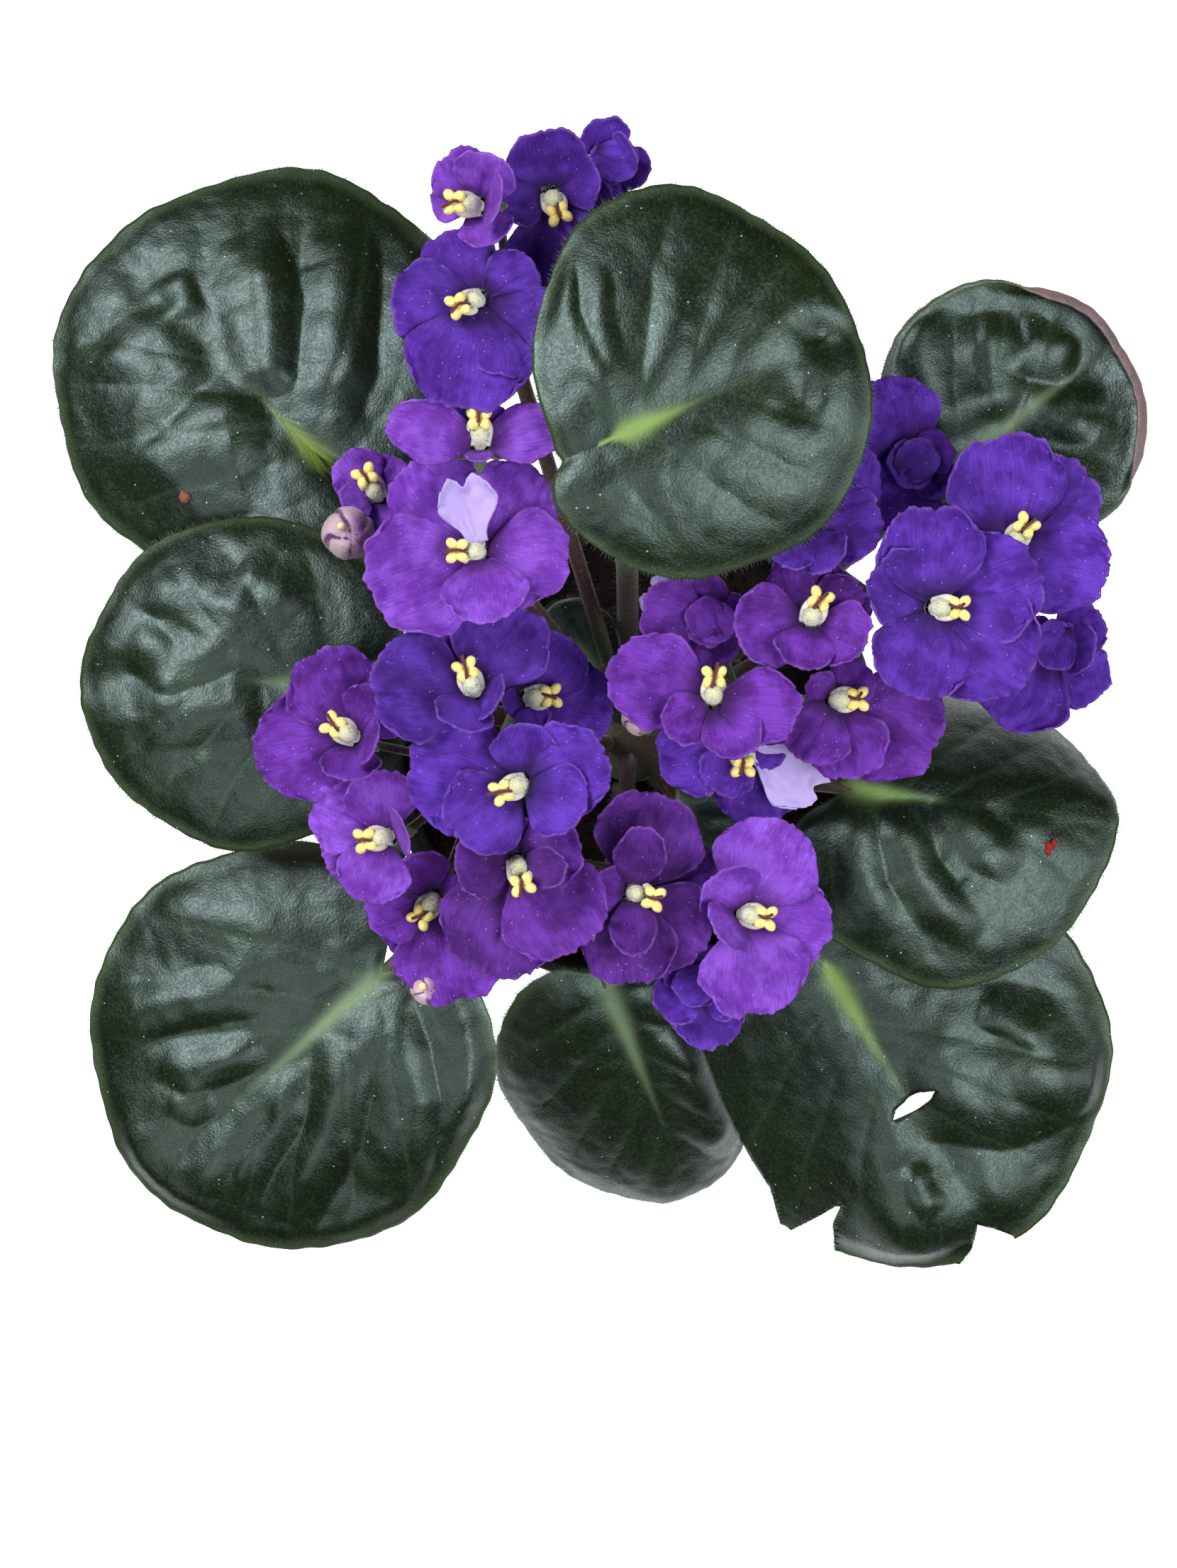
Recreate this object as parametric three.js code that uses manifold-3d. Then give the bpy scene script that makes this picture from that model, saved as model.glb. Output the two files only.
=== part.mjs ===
// A potted African violet: a rosette of round hairy leaves on long petioles, with violet blooms on
// branched stalks above it, growing from a short crown in a plain tapered pot of potting mix.
// Millimetres, +Z up. The origin is the centre of the pot's foot, and +Y is the far side of the
// plant as it is seen from above.
import * as THREE from "three";
import { mergeVertices } from "three/addons/utils/BufferGeometryUtils.js";
import Module from "manifold-3d";

const wasm = await Module();
wasm.setup();

// Pot and potting mix
const POT_HEIGHT = 84;
const POT_WALL = 1.8;
const RIM_RADIUS = 49;
const RIM_BAND = 15;
const RIM_STEP = 3;
const FOOT_RADIUS = 35;
const FOOT_RING = 5;
const FOOT_PAD_RADIUS = 11;
const FOOT_RECESS = 2.5;
const DRAIN_HOLES = 4;
const DRAIN_RADIUS = 3;
const SOIL_LEVEL = 74;
const SOIL_CRUMB = 1.1;
const FIT_GAP = 0.3;
const POT_SIDES = 24;

// Crown, petioles and stalks
const CROWN_RADIUS = 9;
const CROWN_TOP = 95;
const CROWN_FOOT = 56;
const CROWN_FOOT_RADIUS = 6;
const PETIOLE_RADIUS = 2.1;
const LOW_TIER = 83;
const HIGH_TIER = 90;
const PEDUNCLE_RADIUS = 1.5;
const PEDICEL_RADIUS = 0.85;

// Leaf blades
const BLADE_THICKNESS = 1.3;
const BLADE_GRID = [6, 8];
const YOUNG_BLADE_GRID = [3, 4];
const MIDRIB_GROOVE = 1.1;
const GROOVE_WIDTH = 4;

// Blooms
const PETAL_THICKNESS = 0.65;
const PETAL_FULLNESS = 0.5;
const PETAL_ROOT = 1.5;
const PETAL_ROOT_WIDTH = 1.9;
const LAYER_STEP = 0.9;
const HEART_RADIUS = 2.3;
const HEART_TOP = 4.6;
const CALYX_DEPTH = 2.8;
const BLOOM_GAP = 0.6;
const STAMEN_GAP = 0.4;

const LEAF_GREEN = new THREE.MeshStandardMaterial({ color: 0x2a3f24, roughness: 0.5, metalness: 0 });
const STALK_GREEN = new THREE.MeshStandardMaterial({ color: 0x6a7a3c, roughness: 0.7, metalness: 0 });
const PETAL_BLUE = new THREE.MeshStandardMaterial({ color: 0x3c1c9c, roughness: 0.8, metalness: 0 });
const PETAL_VIOLET = new THREE.MeshStandardMaterial({ color: 0x5a22ac, roughness: 0.8, metalness: 0 });
const PETAL_LIGHT = new THREE.MeshStandardMaterial({ color: 0x8038c0, roughness: 0.8, metalness: 0 });
const POLLEN_YELLOW = new THREE.MeshStandardMaterial({ color: 0xf4cf3a, roughness: 0.6, metalness: 0 });
const DARK_PLASTIC = new THREE.MeshStandardMaterial({ color: 0x2c2e2d, roughness: 0.6, metalness: 0 });
const POTTING_MIX = new THREE.MeshStandardMaterial({ color: 0x2a1c13, roughness: 0.95, metalness: 0 });

// The eight large leaves. joint is where the blade meets its petiole, heading the compass direction
// of the midrib from +X, dip how steeply the blade falls towards its tip, bank its tilt to the left.
// Lengths are measured from the joint: length to the tip, lobe back to the ends of the base lobes,
// and halves across, left then right. fold is how far each half is folded down along the midrib, and
// arch the fall of the tip and of the two edges. curl lifts the margin, or with a minus rolls it down.
const LEAVES = [
  { name: "leaf_1", joint: [-58, 51.5, 116], heading: 135, dip: 9, bank: 0, length: 63, lobe: 12,
    halves: [37, 45], fold: [4, 4], arch: [5, 4], curl: -1.5, from: LOW_TIER },
  { name: "leaf_2", joint: [-59.5, 9.5, 126], heading: 178, dip: 5, bank: 0, length: 44.5, lobe: 20,
    halves: [31, 31], fold: [2, 2], arch: [4, 3], curl: -2, from: LOW_TIER },
  { name: "leaf_3", joint: [-47, -44.5, 111], heading: 222, dip: 8, bank: 0, length: 64.5, lobe: 14,
    halves: [38.5, 41.5], fold: [4, 4], arch: [6, 4], curl: -1.5, from: LOW_TIER },
  { name: "leaf_4", joint: [-5.5, -46.5, 103], heading: 292, dip: 31, bank: 0, length: 62, lobe: 6,
    halves: [23, 28], fold: [14, 14], arch: [4, 5], curl: -2, from: LOW_TIER },
  { name: "leaf_5", joint: [37.5, -45, 114], heading: 301, dip: 8, bank: 0, length: 64, lobe: 15,
    halves: [43, 40], fold: [0, 27], arch: [5, 3], curl: -1, from: LOW_TIER, torn: true },
  { name: "leaf_6", joint: [39.5, -10, 126], heading: 353, dip: 4, bank: -4, length: 52, lobe: 12,
    halves: [32, 34], fold: [50, 0], arch: [4, 4], curl: -2, from: LOW_TIER },
  { name: "leaf_7", joint: [60, 50.5, 116], heading: 37, dip: 0, bank: 0, length: 38.5, lobe: 12,
    halves: [27, 25], fold: [-6, -6], arch: [1, 1], curl: 4, from: LOW_TIER },
  { name: "leaf_8", joint: [-2, 51.5, 166], heading: 24, dip: 2, bank: 1, length: 44.5, lobe: 13.5,
    halves: [39.5, 30], fold: [4, 4], arch: [3, 4], curl: -2, from: HIGH_TIER },
];

// Tears right through the torn leaf, as outlines seen from above: a hole beside the midrib, a split
// between the folded half and the open one, and a notch bitten out of the tip.
const TEARS = [
  [[49.4, -73.1], [49.8, -71], [52.5, -68.3], [54.6, -67.2], [57.2, -67], [56.4, -69], [54, -71], [51.2, -72.4]],
  [[40.8, -89.3], [37.5, -92], [30, -97.5], [27, -112], [36, -112], [40.3, -103], [39.3, -94]],
  [[65.9, -93.2], [69, -94], [73.5, -96], [76, -104], [62, -104], [65.4, -98.4]],
];

// Young leaves at the heart of the rosette
const YOUNG_LEAVES = [
  { joint: [8, -12, 110], heading: 298, dip: -8, bank: 0, length: 20, lobe: 4, halves: [11, 11],
    fold: [-8, -8], arch: [2, 1], curl: 1 },
  { joint: [-8, 12, 104], heading: 112, dip: -14, bank: 0, length: 15, lobe: 3, halves: [8, 8],
    fold: [-10, -10], arch: [1, 1], curl: 1 },
  { joint: [13, 6, 103], heading: 20, dip: -16, bank: 0, length: 13, lobe: 3, halves: [7, 7],
    fold: [-10, -10], arch: [1, 1], curl: 1 },
];

// The blooms, in the order in which they lie on each other, lowest first. at is the throat, and
// faces the compass direction that the throat leans to and by how many degrees. Each petal is the
// compass direction of its tip, how far out the tip is seen from above, and how far it is raised.
// extras are small inner petals, or single long ones, and a bloom with open: false hides its throat.
const BLOOMS = [
  { at: [11.5, -45, 134], faces: [290, 30], tone: PETAL_BLUE, spray: 3, open: false,
    petals: [[288, 12.5, 0], [342, 10, 2], [220, 9, 2], [65, 7, 3], [140, 7, 3]] },
  { at: [19.5, -2, 137], faces: [270, 38], tone: PETAL_BLUE, spray: 4,
    petals: [[188, 15.5, -1], [240, 10, 0], [292, 15, -2], [350, 8, 0], [90, 6, 2]],
    extras: [[330, 18, -2]] },
  { at: [76, 16, 137], faces: [335, 30], tone: PETAL_BLUE, spray: 5, open: false,
    petals: [[32, 10, 1], [350, 6.5, 6], [306, 12.5, 0], [232, 17.5, 0], [150, 7, -1]] },
  { at: [50, 48.5, 139], faces: [110, 20], tone: PETAL_BLUE, spray: 5, open: false,
    petals: [[112, 16.5, 0], [30, 8, 0], [330, 8, -1], [262, 8, -1], [190, 7, -1]] },
  { at: [13.5, 20, 139], faces: [200, 18], tone: PETAL_VIOLET, spray: 4, open: false,
    petals: [[182, 10.5, 2], [240, 9.5, 1], [300, 7, 0], [20, 7, 0], [108, 7, 0]],
    extras: [[158, 12.5, 3]] },
  { at: [-4, 103, 138], faces: [60, 35], tone: PETAL_BLUE, spray: 0, open: false,
    petals: [[108, 7.5, 4], [348, 7, 2], [272, 6, 0], [200, 5, 0], [30, 4, 6]] },
  { at: [-46.5, 43, 137], faces: [120, 30], tone: PETAL_LIGHT, spray: 1,
    petals: [[130, 9.5, 2], [60, 8, 0], [345, 7, 0], [272, 7, 0], [200, 6.5, 3]] },
  { at: [-36.5, -30, 133], faces: [235, 28], tone: PETAL_VIOLET, spray: 2,
    petals: [[115, 9, 5], [190, 12.5, 1], [238, 12.5, -1], [286, 19.5, -1], [30, 6, 1]] },
  { at: [-19, 6.5, 135], faces: [5, 30], tone: PETAL_BLUE, spray: 2,
    petals: [[352, 15.5, -1], [55, 13, 2], [110, 11, 1], [200, 5, 1], [280, 6, 1]] },
  { at: [-44.5, -18.5, 135], faces: [190, 36], tone: PETAL_LIGHT, spray: 2,
    petals: [[150, 14.5, 1], [98, 12, 4], [205, 12.5, 0], [250, 12.5, 2], [20, 4, 8]] },
  { at: [36, 6, 141], faces: [2, 26], tone: PETAL_VIOLET, spray: 4,
    petals: [[338, 20.5, -1], [284, 13.5, 1], [225, 10, 1], [48, 8.5, 1], [140, 6, 1]] },
  { at: [-0.5, -28.5, 138], faces: [345, 18], tone: PETAL_VIOLET, spray: 3,
    petals: [[72, 18.5, 1], [8, 16, -1], [318, 16.5, -1], [266, 16.5, 0], [170, 7, 3]],
    extras: [[78, 12, 7], [272, 11, 6]] },
  { at: [-50.5, -0.5, 137], faces: [150, 32], tone: PETAL_VIOLET, spray: 2,
    petals: [[112, 16.5, 1], [192, 18, 0], [50, 9.5, 6], [340, 5, 7], [266, 8, 6]] },
  { at: [-21, -23, 138], faces: [285, 24], tone: PETAL_VIOLET, spray: 3,
    petals: [[110, 9, 3], [20, 12, 4], [308, 19, 2], [256, 21, 1], [185, 11, 4]],
    extras: [[350, 9, 6]] },
  { at: [19.5, -32.5, 142], faces: [352, 36], tone: PETAL_LIGHT, spray: 3,
    petals: [[66, 18, 2], [348, 16, -1], [281, 18.5, 1], [215, 6, 8], [122, 9, 7]] },
  { at: [-20, -9, 142], faces: [203, 22], tone: PETAL_BLUE, spray: 2,
    petals: [[170, 20.5, 0], [86, 10.5, 4], [18, 15.5, 4], [335, 12, 4], [217, 15, 3]] },
  { at: [-28.5, 7.5, 142], faces: [112, 30], tone: PETAL_BLUE, spray: 2,
    petals: [[128, 12, 0], [62, 17.5, 1], [330, 5, 7], [248, 7.5, 7], [176, 18, 5]] },
  { at: [14, 6, 146], faces: [90, 16], tone: PETAL_VIOLET, spray: 4,
    petals: [[163, 19.5, 3], [216, 10.5, 4], [298, 11.5, 4], [350, 15, 4], [86, 5, -1]] },
  { at: [67, 33.5, 146], faces: [55, 26], tone: PETAL_BLUE, spray: 5,
    petals: [[98, 19, 6], [48, 18.5, 2], [342, 18, 2], [155, 13, 2], [258, 6, 1]] },
  { at: [31, 20, 146], faces: [65, 12], tone: PETAL_VIOLET, spray: 4,
    petals: [[188, 13.5, 4], [258, 9, 5], [335, 10.5, 4], [25, 11, 1], [96, 13, 0]] },
  { at: [30, 36.5, 147], faces: [70, 22], tone: PETAL_BLUE, spray: 5,
    petals: [[6, 13.5, 3], [298, 9, 4], [232, 8.5, 4], [60, 18, 1], [150, 6, 0]] },
  { at: [-27.5, 32, 142], faces: [180, 20], tone: PETAL_LIGHT, spray: 1,
    petals: [[128, 20, 0], [58, 17.5, 0], [352, 16, 3], [278, 13, 6], [203, 20.5, 5]],
    extras: [[104, 13.5, 4]] },
  { at: [-27.5, 51, 144], faces: [90, 58], tone: PETAL_LIGHT, spray: 1,
    petals: [[166, 16, 1], [14, 15, 1], [60, 7.5, -1], [120, 7.5, -1], [270, 4, 8]] },
  { at: [-15, 96.5, 142], faces: [290, 22], tone: PETAL_BLUE, spray: 0,
    petals: [[98, 9.5, 9], [30, 9, 7], [335, 10.5, 3], [278, 14, 1], [192, 9, 2]] },
  { at: [-27.7, 76.8, 144], faces: [205, 14], tone: PETAL_BLUE, spray: 0,
    petals: [[122, 13.5, 0], [25, 9.5, 3], [318, 14.5, 4], [261, 20.5, 6], [190, 15.5, 2]] },
  { at: [-28, 93.5, 146], faces: [180, 50], tone: PETAL_LIGHT, spray: 0,
    petals: [[118, 10.5, 1], [158, 8.5, -2], [72, 8, 7], [350, 4.5, 8], [290, 8, 5]] },
  { at: [53, 22, 152], faces: [358, 16], tone: PETAL_BLUE, spray: 5,
    petals: [[150, 13, 4], [252, 16.5, 4], [322, 20, 3], [22, 19, 2], [88, 11, 2]] },
];

// Where each spray's main stalk ends in the short stalks of its blooms
const SPRAY_FORKS = [
  [-22, 70, 126],
  [-25, 32, 126],
  [-27, -6, 124],
  [-3, -25, 122],
  [19, 8, 123],
  [44, 26, 124],
];

// Buds: the fork that they grow from, where they end, and their radius
const BUDS = [
  { spray: 1, at: [-53, 34.5, 137], radius: 4.6 },
  { spray: 4, at: [1, 3, 136], radius: 3.4 },
  { spray: 3, at: [-36.5, -45, 128], radius: 3 },
  { spray: 3, at: [-3.5, -46, 132], radius: 3.2 },
];

const rad = THREE.MathUtils.degToRad;
const vec = (p) => new THREE.Vector3(...p);
const UP = new THREE.Vector3(0, 0, 1);

// A closed geometry as a solid, and a solid as a geometry again
function solidOf(geometry) {
  const bare = geometry.clone();
  for (const name of Object.keys(bare.attributes)) {
    if (name !== "position") bare.deleteAttribute(name);
  }
  const merged = mergeVertices(bare, 1e-4);
  return new wasm.Manifold(new wasm.Mesh({
    numProp: 3,
    vertProperties: new Float32Array(merged.attributes.position.array),
    triVerts: new Uint32Array(merged.index.array),
  }));
}

function geometryOf(solid) {
  const mesh = solid.getMesh();
  const geometry = new THREE.BufferGeometry();
  geometry.setAttribute("position", new THREE.BufferAttribute(mesh.vertProperties, 3));
  geometry.setIndex(new THREE.BufferAttribute(mesh.triVerts, 1));
  geometry.computeVertexNormals();
  return geometry;
}

function fuse(geometries) {
  return geometries.map(solidOf).reduce((whole, piece) => whole.add(piece));
}

// Gives an open surface a thickness. Both faces have the same triangles, and a wall closes the edge.
function thicken(surface, thickness) {
  const bare = surface.clone();
  bare.deleteAttribute("normal");
  bare.deleteAttribute("uv");
  const sheet = mergeVertices(bare, 1e-4);
  sheet.computeVertexNormals();
  const { position, normal } = sheet.attributes;
  const count = position.count;
  const points = new Float32Array(count * 6);
  const point = new THREE.Vector3();
  const offset = new THREE.Vector3();
  for (let i = 0; i < count; i++) {
    offset.fromBufferAttribute(normal, i).multiplyScalar(thickness / 2);
    point.fromBufferAttribute(position, i).add(offset).toArray(points, i * 3);
    point.fromBufferAttribute(position, i).sub(offset).toArray(points, (count + i) * 3);
  }
  const index = sheet.index.array;
  const faces = [];
  const edges = new Set();
  for (let i = 0; i < index.length; i += 3) {
    const [a, b, c] = index.slice(i, i + 3);
    faces.push(a, b, c, c + count, b + count, a + count);
    for (const [from, to] of [[a, b], [b, c], [c, a]]) edges.add(`${from} ${to}`);
  }
  for (const edge of edges) {
    const [a, b] = edge.split(" ").map(Number);
    if (!edges.has(`${b} ${a}`)) faces.push(b, a, a + count, b, a + count, b + count);
  }
  const solid = new THREE.BufferGeometry();
  solid.setAttribute("position", new THREE.BufferAttribute(points, 3));
  solid.setIndex(faces);
  return solid;
}

// Moves every vertex of a flat grid to the point that a formula gives for its place in the grid
function shaped(grid, pointAt) {
  const position = grid.attributes.position;
  for (let i = 0; i < position.count; i++) {
    position.setXYZ(i, ...pointAt(position.getX(i), position.getY(i)));
  }
  return grid;
}

// A round stalk of even thickness along a smooth curve through the given points
function stalkThrough(points, radius, sides, steps) {
  const section = new THREE.Shape();
  for (let i = 0; i < sides; i++) {
    const turn = (2 * Math.PI * i) / sides;
    const corner = [radius * Math.cos(turn), radius * Math.sin(turn)];
    if (i) section.lineTo(...corner);
    else section.moveTo(...corner);
  }
  section.closePath();
  const path = new THREE.CatmullRomCurve3(points);
  return new THREE.ExtrudeGeometry(section, { extrudePath: path, steps, bevelEnabled: false });
}

// A body turned round +Z from [radius, height] pairs that start and end on the axis
function turned(profile, sides) {
  const points = profile.map(([radius, height]) => new THREE.Vector2(radius, height));
  return new THREE.LatheGeometry(points, sides).rotateX(Math.PI / 2);
}

const RIM_FOOT = POT_HEIGHT - RIM_BAND;
const FLOOR_LEVEL = FOOT_RECESS + POT_WALL;

// Radius of the pot's inside, below the rim band, at a height
function insideRadius(height) {
  const top = RIM_RADIUS - RIM_STEP - POT_WALL;
  const share = (height - FLOOR_LEVEL) / (RIM_FOOT - 1 - FLOOR_LEVEL);
  return THREE.MathUtils.lerp(FOOT_RADIUS - POT_WALL, top, share);
}

function pot() {
  const shell = turned([
    [0, 0],
    [FOOT_PAD_RADIUS, 0],
    [FOOT_PAD_RADIUS + FOOT_RECESS, FOOT_RECESS],
    [FOOT_RADIUS - FOOT_RING, FOOT_RECESS],
    [FOOT_RADIUS - FOOT_RING, 0],
    [FOOT_RADIUS, 0],
    [RIM_RADIUS - RIM_STEP, RIM_FOOT],
    [RIM_RADIUS - 1, RIM_FOOT + 0.5],
    [RIM_RADIUS, POT_HEIGHT - 1],
    [RIM_RADIUS - 1, POT_HEIGHT],
    [RIM_RADIUS - POT_WALL - 0.5, POT_HEIGHT - 0.5],
    [RIM_RADIUS - POT_WALL - 1, RIM_FOOT + 2],
    [insideRadius(RIM_FOOT - 1), RIM_FOOT - 1],
    [insideRadius(FLOOR_LEVEL), FLOOR_LEVEL],
    [0, FLOOR_LEVEL],
  ], POT_SIDES);
  let solid = solidOf(shell);
  const drainRing = (FOOT_PAD_RADIUS + FOOT_RECESS + FOOT_RADIUS - FOOT_RING) / 2;
  for (let i = 0; i < DRAIN_HOLES; i++) {
    const turn = (2 * Math.PI * i) / DRAIN_HOLES;
    const drill = new THREE.CylinderGeometry(DRAIN_RADIUS, DRAIN_RADIUS, 3 * POT_WALL, 8);
    drill.rotateX(Math.PI / 2);
    drill.translate(drainRing * Math.cos(turn), drainRing * Math.sin(turn), FOOT_RECESS + POT_WALL / 2);
    solid = solid.subtract(solidOf(drill));
  }
  return solid;
}

// The mix fills the pot to just under its rim band, with a plain hole that the crown stands in
function pottingMix() {
  const low = FLOOR_LEVEL + FIT_GAP;
  const edge = insideRadius(RIM_FOOT - 1) - FIT_GAP;
  const hole = CROWN_RADIUS + FIT_GAP;
  const body = turned([
    [0, low],
    [insideRadius(low) - FIT_GAP, low],
    [edge, RIM_FOOT - 1],
    [edge + 1, SOIL_LEVEL - 2],
    [edge - 9, SOIL_LEVEL],
    [edge - 20, SOIL_LEVEL + 1.5],
    [hole + 3, SOIL_LEVEL + 1],
    [hole, SOIL_LEVEL - 1],
    [CROWN_FOOT_RADIUS + 2 * FIT_GAP, CROWN_FOOT - FIT_GAP],
    [0, CROWN_FOOT - FIT_GAP],
  ], POT_SIDES);
  const position = body.attributes.position;
  for (let i = 0; i < position.count; i++) {
    const [x, y, z] = [position.getX(i), position.getY(i), position.getZ(i)];
    const open = z > SOIL_LEVEL - 1.5 && Math.hypot(x, y) > hole + 1;
    if (open) position.setZ(i, z + SOIL_CRUMB * Math.sin(x * 0.9 + 1) * Math.cos(y * 0.8));
  }
  return solidOf(body);
}

// Half-lengths of a blade's oval and how far its centre lies ahead of the joint
function oval({ length, lobe, halves }, side) {
  return { ahead: (length - lobe) / 2, long: (length + lobe) / 2, wide: halves[side > 0 ? 0 : 1] };
}

// A point of the flat blade for a place in the square grid: the square is drawn out to a circle,
// the circle to the leaf's oval, and the oval is drawn in to the joint between the base lobes.
function bladePlan(leaf, p, q) {
  const { ahead, long, wide } = oval(leaf, q);
  const x = p * Math.sqrt(1 - (q * q) / 2);
  const y = q * Math.sqrt(1 - (p * p) / 2);
  const turn = Math.atan2(y, x);
  const reach = Math.hypot(x, y);
  const fromBase = (Math.PI - Math.abs(turn)) / 0.34;
  const notch = (1 - ahead / long) * Math.exp(-fromBase * fromBase);
  const wave = 0.012 * Math.sin(5 * turn + leaf.length) + 0.01 * Math.sin(8 * turn + leaf.heading);
  const scale = reach * (1 - notch + wave);
  return { x: ahead + long * scale * Math.cos(turn), y: wide * scale * Math.sin(turn), reach };
}

// The blade's surface over its plan, in the leaf's own frame: x along the midrib, y to the left
function bladePoint(leaf, p, q) {
  const { x, y, reach } = bladePlan(leaf, p, q);
  const { wide } = oval(leaf, q);
  const side = Math.abs(y);
  const fold = rad(leaf.fold[y > 0 ? 0 : 1]);
  const eased = side * side / (side + GROOVE_WIDTH);
  const [tipFall, edgeFall] = leaf.arch;
  const height = -tipFall * (x / leaf.length) * Math.abs(x / leaf.length)
    - edgeFall * (side / wide) ** 2
    - eased * Math.sin(fold)
    - MIDRIB_GROOVE * Math.exp(-((side / GROOVE_WIDTH) ** 2))
    + leaf.curl * reach ** 6;
  const across = side - eased * (1 - Math.cos(fold));
  return [x, Math.sign(y) * across, height];
}

// The place of a leaf's frame: its x axis runs along the heading and dips, its y axis banks
function leafFrame({ joint, heading, dip, bank }) {
  const turn = new THREE.Quaternion().setFromAxisAngle(UP, rad(heading));
  const fall = new THREE.Quaternion().setFromAxisAngle(new THREE.Vector3(0, 1, 0), rad(dip));
  const lean = new THREE.Quaternion().setFromAxisAngle(new THREE.Vector3(1, 0, 0), rad(bank));
  const turned3 = turn.multiply(fall).multiply(lean);
  return new THREE.Matrix4().compose(vec(joint), turned3, new THREE.Vector3(1, 1, 1));
}

// Upright prisms through the torn leaf, on the outlines of its tears
function tearCutters() {
  return TEARS.map((outline) => {
    const shape = new THREE.Shape(outline.map(([x, y]) => new THREE.Vector2(x, y)));
    return new THREE.ExtrudeGeometry(shape, { depth: 120, bevelEnabled: false }).translate(0, 0, 50);
  });
}

function blade(leaf, [along, across]) {
  const flat = new THREE.PlaneGeometry(2, 2, along, across);
  const surface = shaped(flat, (p, q) => bladePoint(leaf, p, q));
  const placed = thicken(surface, BLADE_THICKNESS).applyMatrix4(leafFrame(leaf));
  if (!leaf.torn) return placed;
  const whole = solidOf(placed);
  return geometryOf(tearCutters().reduce((left, cutter) => left.subtract(solidOf(cutter)), whole));
}

// The petiole leaves the crown level, rises over the pot's rim, and runs on under the blade
function petiole(leaf, start, radius) {
  const frame = leafFrame(leaf);
  const under = (share, drop) => {
    const [x, y, z] = bladePoint(leaf, gridPlaceAlong(leaf, share * leaf.length), 0);
    return new THREE.Vector3(x, y, z - drop).applyMatrix4(frame);
  };
  const end = under(0.3, radius - 0.3);
  const joint = under(0, radius + 0.2);
  const level = joint.clone().sub(start).setZ(0).setLength(5).add(start);
  const rise = start.clone().lerp(joint, 0.5).add(new THREE.Vector3(0, 0, 2.5));
  return stalkThrough([start, level, rise, joint, end], radius, 5, 7);
}

// The grid place p on the midrib that lies a distance ahead of the joint
function gridPlaceAlong(leaf, distance) {
  const { ahead, long } = oval(leaf, 0);
  return distance < ahead ? (distance - ahead) / ahead : (distance - ahead) / long;
}

function leafSolid(leaf) {
  const away = Math.atan2(leaf.joint[1], leaf.joint[0]);
  const reach = CROWN_RADIUS + FIT_GAP;
  const start = new THREE.Vector3(reach * Math.cos(away), reach * Math.sin(away), leaf.from);
  return fuse([blade(leaf, BLADE_GRID), petiole(leaf, start, PETIOLE_RADIUS)]);
}

// One petal: it leaves the heart of the bloom, and widens and rises to its rounded tip
function petal({ direction, reach, rise, width, layer }) {
  const [columns, rows] = reach < 12.2 ? [2, 1] : [3, 2];
  const lobe = new THREE.PlaneGeometry(2, 1, columns, rows);
  const surface = shaped(lobe, (v, along) => {
    const u = 0.5 - along;
    const tip = reach * (1 - 0.21 * Math.abs(v) ** 2.4);
    const out = PETAL_ROOT + (tip - PETAL_ROOT) * u;
    const fullness = Math.sin((Math.PI / 2) * Math.min(1, u / 0.7));
    const half = (PETAL_ROOT_WIDTH + (width - PETAL_ROOT_WIDTH) * fullness) * (1 - 0.12 * u ** 4);
    const ruffle = 0.04 * width * u * u * Math.cos(3 * v + direction) + 0.06 * width * v * v * u;
    return [out, v * half, layer + rise * u ** 1.3 + ruffle];
  });
  return thicken(surface, PETAL_THICKNESS).rotateZ(rad(direction));
}

// Calyx and ovary: the heart of the bloom, which leans as the bloom faces
function heart(faces) {
  return turned([
    [0, -CALYX_DEPTH],
    [HEART_RADIUS, -1],
    [HEART_RADIUS, HEART_TOP - 1.8],
    [0, HEART_TOP],
  ], 6).applyQuaternion(lean([faces[0], faces[1] / 2]));
}

// Layer of each petal: it lies over those of its neighbours that rise less than it does
function layersOf(petals) {
  const apart = (a, b) => Math.abs(((a - b + 540) % 360) - 180);
  const order = petals.map((_, i) => i).sort((i, j) => petals[i][2] - petals[j][2] || i - j);
  const layers = petals.map(() => 0);
  order.forEach((i, rank) => {
    for (const j of order.slice(0, rank)) {
      if (apart(petals[i][0], petals[j][0]) < 105) layers[i] = Math.max(layers[i], layers[j] + 1);
    }
  });
  return layers;
}

// A whole bloom: its heart, five petals in layers and any small inner petals
function flower({ faces, petals, extras = [] }) {
  const layers = layersOf(petals);
  const lobe = ([direction, reach, rise], fullness, layer) => petal({
    direction, reach, rise, layer, width: fullness * Math.hypot(reach, rise),
  });
  const outer = petals.map((spec, i) => lobe(spec, PETAL_FULLNESS, LAYER_STEP * (layers[i] - 0.5)));
  const inner = extras.map((spec) => lobe(spec, 0.3, LAYER_STEP * 3));
  return fuse([heart(faces), ...outer, ...inner]);
}

// Two anthers side by side beside the ovary, which rest just clear of their own bloom
function stamens({ faces, position, geometry }) {
  const anther = (side) => new THREE.IcosahedronGeometry(1, 0)
    .scale(1.35, 1.7, 1.15)
    .rotateZ(rad(-28 * side))
    .translate(4, 1.2 * side, 0);
  const pair = geometryOf(fuse([anther(1), anther(-1)]));
  pair.rotateZ(rad(faces[0])).applyQuaternion(lean([faces[0], faces[1] / 4])).translate(...position);
  const under = new Map();
  for (const [key, { high }] of rasterOf(geometry)) under.set(key, high);
  return pair.translate(0, 0, liftOver(under, rasterOf(pair), STAMEN_GAP, 0));
}

// The turn that leans a bloom's axis towards a compass direction
function lean([direction, degrees]) {
  const axis = new THREE.Vector3(-Math.sin(rad(direction)), Math.cos(rad(direction)), 0);
  return new THREE.Quaternion().setFromAxisAngle(axis, rad(degrees));
}

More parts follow.
